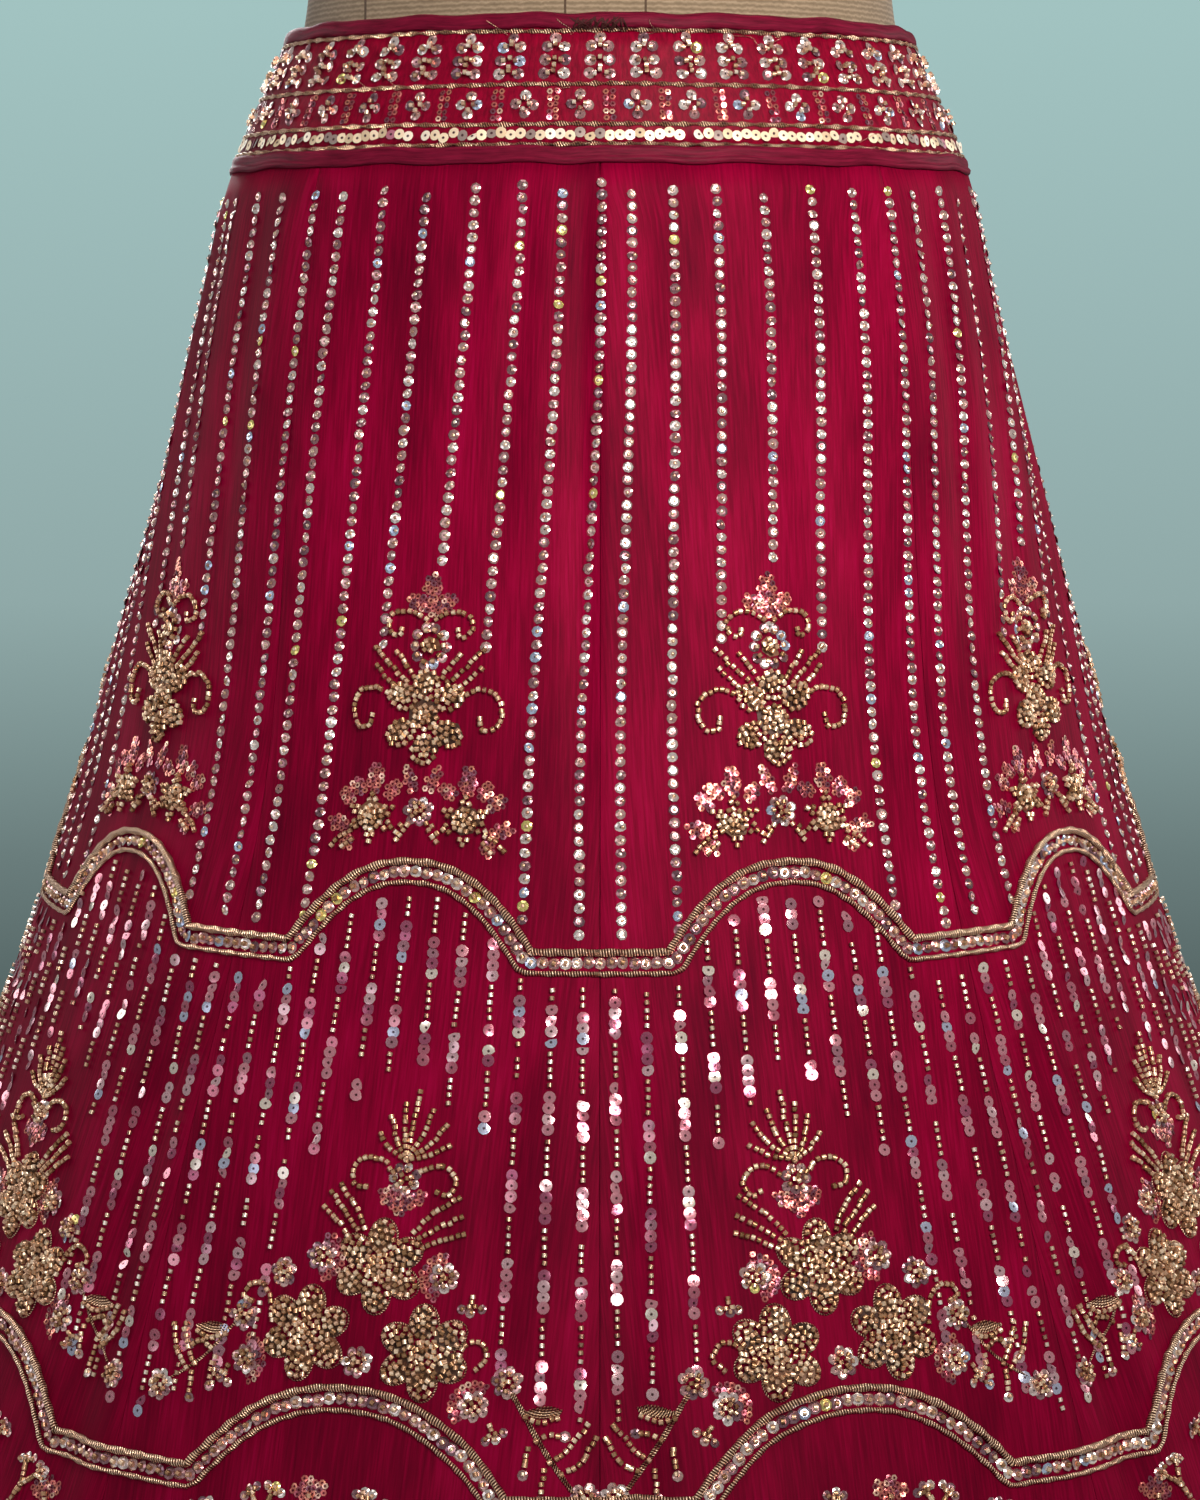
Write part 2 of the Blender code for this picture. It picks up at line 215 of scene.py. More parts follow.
def turn_for(turn, height, width):
    """The turn that covers a width measured along the cloth."""
    small = 0.01
    reach = np.linalg.norm(skirt(turn + small, height) - skirt(turn - small, height), axis=-1)
    return width * 2 * small / reach


def run_along(points):
    """The length run up to each point of a line."""
    steps = np.linalg.norm(np.diff(points, axis=0), axis=1)
    return np.concatenate([[0.0], np.cumsum(steps)])


def round_angles(count):
    """Angles evenly round a circle."""
    return np.arange(count) * math.tau / count


waist_half_sizes = oval_at(OVALS, np.array(WAIST_TOP))
print("waist round", round(math.pi * float(sum(waist_half_sizes)), 2), "m or so")

# %% [markdown]
# ## Turning arrays into meshes
#
# Blender takes whole arrays through foreach_set, which is far quicker than adding points one at
# a time, and a skirt with ten thousand beads needs that.


# %% From arrays to an object
def mesh_piece(name, points, faces, material, node=None, uv=None, marks=None, smooth=40):
    """A piece from points (..., 3) and faces (m, 3 or 4), smooth where faces meet at less than
    some degrees. uv is (..., 2); marks are named numbers, one a point."""
    points = points.reshape(-1, 3)
    mesh = bpy.data.meshes.new(name)
    sides = faces.shape[1]
    mesh.vertices.add(len(points))
    mesh.vertices.foreach_set("co", np.ascontiguousarray(points, np.float32).ravel())
    mesh.loops.add(faces.size)
    mesh.loops.foreach_set("vertex_index", faces.astype(np.int32).ravel())
    mesh.polygons.add(len(faces))
    mesh.polygons.foreach_set("loop_start", np.arange(0, faces.size, sides, dtype=np.int32))
    mesh.update(calc_edges=True)
    if uv is not None:
        layer = mesh.uv_layers.new(name="cloth")
        layer.data.foreach_set("uv", uv.reshape(-1, 2)[faces.ravel()].astype(np.float32).ravel())
    for mark, values in (marks or {}).items():
        layer = mesh.attributes.new(mark, "FLOAT", "POINT")
        layer.data.foreach_set("value", values.astype(np.float32))
    mesh.shade_smooth()
    mesh.set_sharp_from_angle(angle=math.radians(smooth))
    piece = bpy.data.objects.new(name, mesh)
    bpy.context.scene.collection.objects.link(piece)
    mesh.materials.append(material)
    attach(piece, "root")
    if node:
        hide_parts(node)
    return piece


def thicken(piece, wall, title="Cloth"):
    """Give a sheet its thickness, inwards."""
    solid = piece.modifiers.new(title, "SOLIDIFY")
    solid.thickness, solid.offset = wall, -1.0


def grid_faces(rows, columns, around=False, along=False):
    """Quads of a grid, wrapped across its columns or its rows where it closes on itself."""
    i, j = np.arange(rows - (not along))[:, None], np.arange(columns - (not around))
    i_next, j_next = (i + 1) % rows, (j + 1) % columns
    corners = (i * columns + j, i * columns + j_next, i_next * columns + j_next)
    return np.stack([*corners, i_next * columns + j], axis=-1).reshape(-1, 4)


# %% [markdown]
# ## Materials
#
# A material starts from what the real one is. Colours are written as hex, as a designer would,
# and turned to the linear values that the shader expects.


# %% Helpers for the materials
def linear(hex_colour):
    """sRGB hex to linear: x/12.92 below 0.04045, else ((x + 0.055)/1.055)^2.4."""
    channels = [int(hex_colour[i : i + 2], 16) / 255 for i in (1, 3, 5)]
    return [x / 12.92 if x <= 0.04045 else ((x + 0.055) / 1.055) ** 2.4 for x in channels] + [1.0]


def start_material(name, **sockets):
    """A new material and its shader, with fixed values on the shader's own sockets."""
    material = bpy.data.materials.new(name)
    material.use_nodes = True
    shader = material.node_tree.nodes["Principled BSDF"]
    for socket, value in sockets.items():
        shader.inputs[socket.replace("_", " ")].default_value = value
    return material, shader


def add_node(owner, kind, output, links=None, inputs=None, stops=(), stepped=False, **settings):
    """Add a node of a kind to a material or the world, with its settings, incoming links, input
    values and (position, hex) stops, and return one of its outputs."""
    node = owner.node_tree.nodes.new("ShaderNode" + kind)
    for setting, value in settings.items():
        setattr(node, setting, value)
    for socket, value in (inputs or {}).items():
        node.inputs[socket].default_value = value
    for socket, source in (links or {}).items():
        owner.node_tree.links.new(source, node.inputs[socket])
    if stops:
        elements = node.color_ramp.elements
        node.color_ramp.interpolation = "CONSTANT" if stepped else "LINEAR"
        while len(elements) < len(stops):
            elements.new(0.5)
        for element, (position, colour) in zip(elements, stops):
            element.position, element.color = position, linear(colour)
    return node.outputs[output]


def pattern(material, kind, place, stretch, inputs, **settings):
    """A texture of a kind, read at places multiplied by a stretch along each axis."""
    place = add_node(material, "Mapping", "Vector", {"Vector": place}, {"Scale": stretch})
    return add_node(material, kind, "Fac", {"Vector": place}, inputs, **settings)


def dress(material, shader, colour, height, depth, distance):
    """Colour the shader, and raise or sink it by a pattern, so deep over a distance in metres."""
    links = material.node_tree.links
    relief = {"Strength": depth, "Distance": distance}
    normal = add_node(material, "Bump", "Normal", {"Height": height}, relief)
    links.new(colour, shader.inputs["Base Color"])
    links.new(normal, shader.inputs["Normal"])
    return material


# %% [markdown]
# ### Crinkled net over satin
#
# The ground is a fine net with a lengthwise crinkle, laid over satin. The crinkle shows as thin
# uneven streaks that run down the panel, painted into the colour with slow bands from deep to
# bright. These are partly the net's own uneven tone and partly painted sheen, standing for the
# satin's soft vertical highlights. The two layers together give a soft sheen, partly painted this
# way and partly from the shader's own sheen. The pattern follows the cloth, so it reads the
# piece's own UV map, whose unit is a metre.


# %% Crimson net
def crinkled_net():
    """Crinkles about 1.1 mm apart across the panel and 25 mm long down it, over a satin whose
    colour drifts slowly from deep to bright. Both are painted into the colour: partly the net's own
    uneven tone and partly painted sheen."""
    material, shader = start_material(
        "crinkled_net_over_satin_painted_sheen", Roughness=0.6, Specular_IOR_Level=0.03, Sheen_Weight=0.05,
        Sheen_Roughness=0.45, Sheen_Tint=linear("#ff0848"),
    )
    place = add_node(material, "UVMap", "UV", uv_map="cloth")
    crinkles, drift = (
        pattern(
            material, "TexNoise", place, (across, down, 1.0),
            {"Scale": 1.0, "Detail": detail, "Roughness": 0.55},
        )
        for across, down, detail in ((900.0, 40.0, 3.0), (38.0, 9.0, 2.0))
    )
    layers = {"A": crinkles, "B": drift}
    mixed = add_node(material, "Mix", "Result", layers, {"Factor": 0.5}, data_type="FLOAT")
    # Deep to bright: partly the net's own tone, partly painted sheen standing for the satin's
    # highlights.
    stops = [(0.30, "#4b0017"), (0.45, "#62001d"), (0.56, "#750025"), (0.72, "#8a0232")]
    colour = add_node(material, "ValToRGB", "Color", {"Fac": mixed}, stops=stops)
    return dress(material, shader, colour, crinkles, 0.30, 0.0004)


NET = crinkled_net()

# %% [markdown]
# ### Satin, linen, zari, sequins and beads
#
# Each sequin carries a number of its own, its tint, so that a ramp can give neighbours different
# foils. Partly these are the slight differences of a packet of sequins, and partly painted
# highlight and shade: the palest tints stand for sequins that catch a lamp, the darkest for ones
# turned from it. A second number, its reach, runs from 0 at the middle to 1 at the rim, and marks
# the punched hole.


# %% Satin for the bindings, the ground of the band and sewing threads
def satin(name, dark, light, across_scale, along_scale):
    """Woven satin: fine uneven threads, painted brighter and darker at random, partly the threads'
    own tone and partly painted sheen where they would catch the light.
    """
    material, shader = start_material(
        name, Roughness=0.5, Specular_IOR_Level=0.06, Sheen_Weight=0.03, Sheen_Roughness=0.4,
        Sheen_Tint=linear("#e01850"),
    )
    place = add_node(material, "UVMap", "UV", uv_map="cloth")
    grain = {"Scale": 1.0, "Detail": 3.0, "Roughness": 0.65}
    threads = pattern(material, "TexNoise", place, (across_scale, along_scale, 1.0), grain)
    # The light stop is partly painted sheen on the threads.
    stops = [(0.3, dark), (0.7, light)]
    colour = add_node(material, "ValToRGB", "Color", {"Fac": threads}, stops=stops)
    return dress(material, shader, colour, threads, 0.4, 0.0005)


BINDING_SATIN = satin("maroon_satin_binding", "#430315", "#6e0f2b", 90.0, 900.0)
BAND_SATIN = satin("crimson_satin_band", "#550015", "#7f0124", 700.0, 160.0)


# %% Ribbed linen of the dress form
LINEN_SEAMS, LINEN_SEAM_HALF = (-0.100, -0.0145, 0.0190), 0.0005
RIB_PITCH = 0.0022
# A wave texture repeats every 2 pi / 20 of its unit, or 2 pi / 10 where it runs diagonally.
WAVE_UNIT, DIAGONAL_WAVE_UNIT = math.tau / 20, math.tau / 10


def ribbed_linen():
    """Plain linen whose thicker weft shows as level ribs 2.2 mm apart, a little uneven, with a
    dark line down each seam."""
    material, shader = start_material(
        "ribbed_linen", Roughness=0.9, Specular_IOR_Level=0.2, Sheen_Weight=0.1
    )
    place = add_node(material, "TexCoord", "Object")
    weft = {"Scale": WAVE_UNIT / RIB_PITCH, "Distortion": 2.5, "Detail": 2.0, "Detail Scale": 3.0}
    ribs = add_node(material, "TexWave", "Fac", {"Vector": place}, weft, bands_direction="Z")
    grain = {"Scale": 260.0, "Detail": 4.0, "Roughness": 0.7}
    flecks = add_node(material, "TexNoise", "Fac", {"Vector": place}, grain)
    layers = {"A": ribs, "B": flecks}
    mixed = add_node(material, "Mix", "Result", layers, {"Factor": 0.5}, data_type="FLOAT")
    stops = [(0.2, "#6c5d49"), (0.55, "#7f6e59"), (0.85, "#94826b")]
    colour = add_node(material, "ValToRGB", "Color", {"Fac": mixed}, stops=stops)
    across = add_node(material, "SeparateXYZ", "X", {"Vector": place})
    seams = None
    for at in LINEN_SEAMS:
        near = {1: at, 2: LINEN_SEAM_HALF}
        line = add_node(material, "Math", "Value", {0: across}, near, operation="COMPARE")
        if seams is not None:
            both = {0: seams, 1: line}
            line = add_node(material, "Math", "Value", both, operation="MAXIMUM")
        seams = line
    layers, thread = {"Factor": seams, "A": colour}, {"B": linear("#4c3c2e")}
    colour = add_node(material, "Mix", "Result", layers, thread, data_type="RGBA")
    return dress(material, shader, colour, mixed, 0.22, 0.0005)


LINEN = ribbed_linen()


# %% Foil sequins and metal-lined beads
HOLE_EDGE = 0.12


def foil(name, stops, roughness, metallic, hole="#3a1018", hole_reach=0.0, film=1.0):
    """Polished foil whose colour comes from the tint and whose punched hole shows the thread."""
    material, shader = start_material(name, Roughness=roughness, Metallic=metallic, Alpha=film)
    tint = add_node(material, "Attribute", "Fac", attribute_name="tint")
    colour = add_node(material, "ValToRGB", "Color", {"Fac": tint}, stops=stops, stepped=True)
    if hole_reach:
        reach = add_node(material, "Attribute", "Fac", attribute_name="reach")
        edge = {"From Min": hole_reach, "From Max": hole_reach + HOLE_EDGE}
        rim = add_node(material, "MapRange", "Result", {"Value": reach}, edge)
        layers, thread = {"Factor": rim, "B": colour}, {"A": linear(hole)}
        colour = add_node(material, "Mix", "Result", layers, thread, data_type="RGBA")
    material.node_tree.links.new(colour, shader.inputs["Base Color"])
    return material


# The tints of the sequins and beads below are partly real differences between foils and partly
# painted highlight and shade: the palest stops stand for ones catching a lamp, the darkest for ones
# turned from it.
CUP_FOIL = foil(
    "pink_silver_cup_sequin_foil",
    [(0.0, "#d8ada6"), (0.24, "#bf8f8e"), (0.42, "#ead2ca"), (0.56, "#a67a7e"),
     (0.72, "#f2e2da"), (0.84, "#8f6a72"), (0.93, "#c4cfe6"), (0.975, "#f3e08c")],
    0.20, 0.85, hole_reach=0.12,
)
CLEAR_FOIL = foil(
    "iridescent_flat_sequin_film",
    [(0.0, "#dc98a2"), (0.30, "#c47484"), (0.50, "#e4bcc0"), (0.65, "#b0607a"),
     (0.78, "#c6cade"), (0.85, "#b88490"), (0.94, "#f4e6d8")],
    0.17, 0.62, hole_reach=0.16, film=0.72,
)
GOLD_FOIL = foil(
    "matte_gold_sequin_foil",
    [(0.0, "#e6d2b2"), (0.36, "#cdb694"), (0.60, "#8d7c74"), (0.72, "#a8687a"), (0.82, "#efe2cc")],
    0.45, 0.35, hole_reach=0.2,
)
PINK_FOIL = foil(
    "rose_gold_seed_sequin_foil",
    [(0.0, "#cc7068"), (0.3, "#a85660"), (0.55, "#e08e78"), (0.75, "#8c5462"), (0.9, "#ffcdb4")],
    0.24, 0.72, hole="#60101e", hole_reach=0.36, film=0.85,
)
BEAD_GLASS = foil(
    "gold_lined_seed_bead",
    [(0.0, "#d8ac8a"), (0.3, "#bc906c"), (0.55, "#f0d0ac"), (0.75, "#a07854"), (0.9, "#ffe2c0")],
    0.26, 0.72,
)
SILVER_BEAD = foil(
    "silver_lined_seed_bead",
    [(0.0, "#dcc0a4"), (0.35, "#c09a7c"), (0.6, "#f0dcc8"), (0.8, "#a67c68"), (0.92, "#fff0e0")],
    0.24, 0.72,
)
GOLD_GROUND = foil(
    "couched_gold_thread_ground",
    [(0.0, "#462a1a"), (0.35, "#5a3b24"), (0.6, "#3c2219"), (0.85, "#6a452d")],
    0.5, 0.4,
)


# %% Zari, a gilt thread
ZARI_PITCH = 0.0011


def zari():
    """Gilt thread: copper-gold metal with slanting turns 1.1 mm apart, painted dark in the gaps
    between the plies as painted shade and bright on their crests as painted glints.
    """
    material, shader = start_material("copper_gold_zari_painted_ply_shade_and_glints", Metallic=0.85, Roughness=0.34)
    place = add_node(material, "UVMap", "UV", uv_map="cloth")
    turns = pattern(
        material, "TexWave", place, (DIAGONAL_WAVE_UNIT / ZARI_PITCH, 0.1, 1.0),
        {"Scale": 1.0, "Distortion": 1.2, "Detail": 1.0}, bands_direction="DIAGONAL",
    )
    # Painted shade in the gaps between the plies, painted glints on their crests.
    stops = [(0.22, "#4a2418"), (0.5, "#a06e4e"), (0.80, "#ffdcba")]
    colour = add_node(material, "ValToRGB", "Color", {"Fac": turns}, stops=stops)
    return dress(material, shader, colour, turns, 0.8, 0.0006)


ZARI = zari()

# %% [markdown]
# ## The panels
#
# Each kali is one sheet of cloth, seamed to its neighbours. A real seam shows as a narrow groove
# where both edges turn in, so the outermost columns of each sheet turn inwards. Solidify then
# gives the cloth its thickness.

# %% Ten kalis
PANEL_COLUMNS, PANEL_ROWS = 32, 80
SEAM_GAP, SEAM_TURN_IN, SEAM_DIP = 0.0003, 0.003, 0.0003


def kali(number):
    """Columns crowd towards the seams, s = (u + (1 - cos(pi u))/2)/2, and the heights run from
    the hem up. The first and last columns repeat their edge, turned in."""
    u = np.linspace(0.0, 1.0, PANEL_COLUMNS + 1)
    share = (u + (1.0 - np.cos(np.pi * u)) / 2.0) / 2.0
    share = np.concatenate([[0.0], share, [1.0]])
    out = np.zeros(len(share))
    out[[1, -2]], out[[0, -1]] = -SEAM_DIP, -SEAM_TURN_IN
    height = np.linspace(HEM, BAND_BOTTOM, PANEL_ROWS + 1)[:, None]
    first, last = PANEL_TURN * (number - 1), PANEL_TURN * number
    start = first + turn_for(first, height, SEAM_GAP / 2)
    end = last - turn_for(last, height, SEAM_GAP / 2)
    width = (end - start) / turn_for(first, height, 1.0)
    turn, height = np.broadcast_arrays(start + (end - start) * share, height)
    uv = np.stack([(share - 0.5) * width + number, height], axis=-1)
    points, faces = off_skirt(turn, height, out), grid_faces(*turn.shape)
    replaced = f"panel_{number:02d}"
    piece = mesh_piece(f"kali_{number:02d}", points, faces, NET, replaced, uv)
    thicken(piece, CLOTH)
    return piece


kalis = [kali(number) for number in range(1, PANELS + 1)]
print("kalis", len(kalis), "points each", len(kalis[0].data.vertices))

# %% [markdown]
# ## The waistband and its bindings
#
# The band is cut to the waist's own curve, stiffened, and open at the centre back, where a
# concealed zip closes it. A binding is a strip of satin folded over an edge, so each is a narrow
# sheet that runs up the outside, over the edge and down the inside.

# %% A strip round the waist
SLIT = 0.0006
WAIST_STEPS = 300
WAIST_RADIUS = 0.145
EDGE_WAVE = 0.0004


def waist_turns(steps=WAIST_STEPS):
    """Turns from one side of the back slit to the other."""
    slit = float(turn_for(np.array(math.pi), np.array(WAIST_TOP), SLIT))
    return np.linspace(-math.pi + slit, math.pi - slit, steps + 1)


def waist_strip(name, profile, material, wall, node, wave=0.0):
    """A profile of (height, out) pairs carried round the waist, with a hand-sewn waver."""
    turn, profile = waist_turns()[:, None], np.array(profile)
    waver = wave * (np.sin(turn * 23.0) + 0.7 * np.sin(turn * 41.0 + 2.0))
    height, out = profile.T
    turn, height, out = np.broadcast_arrays(turn, height + waver, out)
    uv = np.stack(np.broadcast_arrays(turn * WAIST_RADIUS, run_along(profile)), axis=-1)
    points, faces = off_skirt(turn, height, out), grid_faces(*turn.shape)[:, ::-1]
    piece = mesh_piece(name, points, faces, material, node, uv, smooth=70)
    thicken(piece, wall)
    return piece


BAND_TOP_LENGTH, BAND_BOTTOM_LENGTH, BAND_WIDTH = 0.770, 0.915, 0.056
band_rows = [(height, 0.0) for height in np.linspace(0.9835, 1.0365, 6)]
band = waist_strip(
    "waistband_satin", band_rows, BAND_SATIN, 0.0018, "waistband"
)


# %% Binding round the top edge, piping at the lower one
def rolled(low, high, bulge, inner):
    """A folded strip's profile: up the outside with a soft bulge, over, and down the inside."""
    outside = [
        (low + (high - low) * share, 0.0004 + bulge * math.sin(math.pi * share) ** 0.6)
        for share in np.linspace(0.0, 1.0, 7)
    ]
    inside = [(high - 0.0002, -inner / 2), (high - 0.0016, -inner), (low + 0.001, -inner)]
    return outside + inside


BINDING_WALL = 0.0006
PIPING_ROWS = [
    (0.9782, 0.0003), (0.9786, 0.0010), (0.9797, 0.0016), (0.9808, 0.0011), (0.9812, 0.0009),
    (0.9820, 0.0013), (0.9836, 0.0016), (0.9850, 0.0012), (0.9856, 0.0003),
]
for name, rows, node, flat in (
    (
        "waist_binding_satin", rolled(1.0338, 1.0405, 0.0013, 0.0026), "waist_binding",
        (BAND_TOP_LENGTH, 0.017),
    ),
    ("band_piping_satin", PIPING_ROWS, "band_lower_binding", (BAND_BOTTOM_LENGTH, 0.0105)),
):
    strip = waist_strip(name, rows, BINDING_SATIN, BINDING_WALL, node, EDGE_WAVE)
print("band and bindings made")

# %% [markdown]
# ## Sequins and beads as arrays
#
# Thousands of the same small thing are best made once and placed by arithmetic: take the shape's
# few points, turn and tip them for each place, and add the place. The result is one mesh for
# each kind. Each shape has a few dozen faces at most, because there are so many of them.


# %% The small shapes, in millimetres
def turned_shape(rings, sides, top):
    """A shape turned about z from (radius, height) rings, outermost first, closed by a point at
    the top and flat below. Returns points, triangles and the reach."""
    angle = round_angles(sides)
    points = [
        np.stack([r * np.cos(angle), r * np.sin(angle), np.full(sides, h)], 1) for r, h in rings
    ]
    faces = []
    j, after = np.arange(sides), (np.arange(sides) + 1) % sides
    for ring in range(len(rings) - 1):
        low, high = ring * sides, (ring + 1) * sides
        faces.append(np.stack([low + j, low + after, high + after], 1))
        faces.append(np.stack([low + j, high + after, high + j], 1))
    count = len(rings) * sides
    points.append([[0.0, 0.0, top]])
    faces.append(np.stack([count - sides + j, count - sides + after, np.full(sides, count)], 1))
    fan = np.arange(1, sides - 1)
    faces.append(np.stack([np.zeros_like(fan), fan + 1, fan], 1))
    points = np.concatenate(points)
    reach = np.hypot(points[:, 0], points[:, 1]) / max(r for r, _ in rings)
    return points, np.concatenate(faces), reach


BARREL_START, BARREL_SINK = 0.3, 0.8


def barrel(radius, length, sides=5):
    """A seed bead lying on its side: a short five-sided tube along y with flat ends."""
    angle = round_angles(sides) + BARREL_START
    x, z = radius * np.cos(angle), radius * np.sin(angle) + BARREL_SINK * radius
    ends = [np.stack([x, np.full(sides, y), z], 1) for y in (-length / 2, length / 2)]
    j, after = np.arange(sides), (np.arange(sides) + 1) % sides
    fan = np.arange(1, sides - 1)
    faces = [
        np.stack([j, sides + after, after], 1),
        np.stack([j, sides + j, sides + after], 1),
        np.stack([np.zeros_like(fan), fan, fan + 1], 1),
        np.stack([np.full_like(fan, sides), sides + fan + 1, sides + fan], 1),
    ]
    return np.concatenate(ends), np.concatenate(faces), np.ones(2 * sides)


SHAPES = {
    "cup": turned_shape([(2.25, 0.1), (1.35, 0.6)], 8, 0.52),
    "flat": turned_shape([(2.5, 0.10)], 10, 0.32),
    "pink": turned_shape([(1.35, 0.10)], 6, 0.30),
    "dome": turned_shape([(1.05, 0.0)], 6, 1.05),
    "bead": barrel(1.15, 1.6),
    "seed": barrel(1.05, 1.55),
    "pad": turned_shape([(1.0, 0.0)], 7, 0.05),
}
FOILS = {
    "cup": (CUP_FOIL, 30),
    "flat": (CLEAR_FOIL, 30),
    "gold": (GOLD_FOIL, 30),
    "pink": (PINK_FOIL, 30),
    "dome": (SILVER_BEAD, 80),
    "bead": (BEAD_GLASS, 80),
    "seed": (SILVER_BEAD, 80),
    "pad": (GOLD_GROUND, 80),
}
print({kind: len(shape[1]) for kind, shape in SHAPES.items()})


# %% Lay one shape at many places
LAID_ABOVE = 0.12


def laid(kind, place, seed, tip=0.10):
    """Points of every copy: place + (across, up, out) times the shape, first tipped a little at
    random, then spun. place has columns turn, height, spin, lift mm and size."""
    random = np.random.default_rng(seed)
    shape, faces, reach = SHAPES["flat" if kind == "gold" else kind]
    turn, height, spin, lift, size = place.T
    across, up, out = directions(turn, height)
    tip_x, tip_y = random.normal(0.0, tip, (2, len(place)))
    x, y, z = np.moveaxis(shape[None] * size[:, None, None], -1, 0)
    z = z + x * tip_x[:, None] + y * tip_y[:, None] + lift[:, None] + LAID_ABOVE
    cos, sin = np.cos(spin)[:, None], np.sin(spin)[:, None]
    x, y = x * cos - y * sin, x * sin + y * cos
    offset = x[..., None] * across[:, None] + y[..., None] * up[:, None]
    offset = offset + z[..., None] * out[:, None]
    points = skirt(turn, height)[:, None] + offset * MM
    index = np.arange(len(place))[:, None, None] * len(shape) + faces[None]
    tint = np.repeat(random.random(len(place)), len(shape))
    return points, index.reshape(-1, 3), {"tint": tint, "reach": np.tile(reach, len(place))}


def sewn(name, kind, places, seed, tip=0.10):
    """One piece of every sequin or bead of a kind, on the cloth of the whole skirt."""
    place = np.concatenate(places)
    points, faces, marks = laid(kind, place, seed, tip)
    material, smooth = FOILS[kind]
    mesh_piece(name, points, faces, material, marks=marks, smooth=smooth)
    print(name, len(place), "laid,", len(faces), "triangles")


def rows_of(turn, height, spin=0.0, lift=0.0, size=1.0):
    """Columns turn, height, spin, lift and size as one array, a row for each thing laid."""
    return np.stack([c.ravel() for c in np.broadcast_arrays(turn, height, spin, lift, size)], 1)


# %% [markdown]
# ## The scallop lines
#
# Three scalloped borders cross the skirt. In each kali the line rises to an arch in the middle
# and runs low and straight between the arches. Two gilt cords edge it, with sequins between.

# %% Where each scallop runs
ARCH_HALF, ARCH_POWER = 0.315, 2.3
ROUTE_STEPS = 160
# For each line: its low height and the rise of the arch.
SCALLOPS = {"upper": (0.6640, 0.0325), "lower": (0.4690, 0.0345), "hem": (0.0700, 0.0450)}


def scallop_height(name, share):
    """Height at a share of the panel's width from its middle: an arch H (1 - |x|^2.3) inside
    the arch's half width, and the low level outside it."""
    low, rise = SCALLOPS[name]
    inside = np.clip(np.abs(share) / ARCH_HALF, 0.0, 1.0)
    return low + rise * (1.0 - inside**ARCH_POWER)


def scallop_route(name, pitch, offset=0.0):
    """Places along the scallop right round the skirt, a pitch apart in mm, moved up or down by
    an offset across the line. Lengths are summed along a fine polyline and read back evenly."""
    share = np.linspace(-0.5, 0.5, ROUTE_STEPS + 1)[:-1]
    turn = (np.arange(PANELS)[:, None] + 0.5 + share).ravel() * PANEL_TURN
    height = np.tile(scallop_height(name, share), PANELS)
    turn, height = np.append(turn, turn[0] + math.tau), np.append(height, height[0])
    run = run_along(skirt(turn, height))
    count = int(run[-1] / (pitch * MM))
    at = np.arange(count) * run[-1] / count
    turn, height = np.interp(at, run, turn), np.interp(at, run, height)
    half_width = mean_radius(height)
    slope = np.arctan2(np.gradient(height), np.gradient(turn) * half_width)
    turn = turn - np.sin(slope) * offset * MM / half_width
    return turn, height + np.cos(slope) * offset * MM, slope


# %% A cord laid on the cloth
CORD_SWELL, CORD_TWIST, CORD_SINK = 0.16, 1.3, 0.8


def cord(turn, height, radius, sides=5, closed=False, lift=0.0):
    """A tube whose rings stand across the path, swelling a little with the twist of its plies,
    lifted by some mm. An open one has four sides. Returns points, quads and uv."""
    points, out = skirt(turn, height), directions(turn, height)[2]
    ahead = np.gradient(points, axis=0)
    if closed:
        ahead = np.roll(points, -1, 0) - np.roll(points, 1, 0)
    side = unit(np.cross(unit(ahead), out))
    angle = round_angles(sides)
    swell = 1.0 + CORD_SWELL * np.sin(2 * angle + np.arange(len(turn))[:, None] * CORD_TWIST)
    around = np.cos(angle) * swell * radius * MM
    above = (np.sin(angle) * swell + CORD_SINK) * radius * MM + np.atleast_1d(lift)[:, None] * MM
    ring = points[:, None] + side[:, None] * around[..., None] + out[:, None] * above[..., None]
    uv = np.stack(np.broadcast_arrays(run_along(points)[:, None], angle), axis=-1)
    faces = grid_faces(len(turn), sides, around=True, along=closed)
    if not closed:
        cap = np.array([[0, 1, 2, 3]])
        faces = np.concatenate([faces, cap[:, ::-1], (len(turn) - 1) * sides + cap])
    return ring.reshape(-1, 3), faces[:, ::-1], uv.reshape(-1, 2)


def cords_piece(name, cords, material=ZARI):
    """Many cords as one piece, of zari unless told otherwise."""
    points, faces, uv = zip(*cords)
    start = np.cumsum([0] + [len(found) for found in points[:-1]])
    faces = np.concatenate([found + first for found, first in zip(faces, start)])
    points, uv = np.concatenate(points), np.concatenate(uv)
    mesh_piece(name, points, faces, material, uv=uv, smooth=80)
    print(name, len(cords), "cords,", 2 * len(faces), "triangles")


# %% Sew the three scallops
CORD_OFFSET, CORD_RADII = 3.95, (1.5, 1.05)
CORD_PITCH = {"upper": 2.0, "lower": 2.0, "hem": 5.0}
for name, pitch in CORD_PITCH.items():
    edges = []
    for side, radius in zip((1, -1), CORD_RADII):
        turn, height, _ = scallop_route(name, pitch, side * CORD_OFFSET)
        edges.append(cord(turn, height, radius, closed=True))
    cords_piece(f"{name}_scallop_zari", edges)

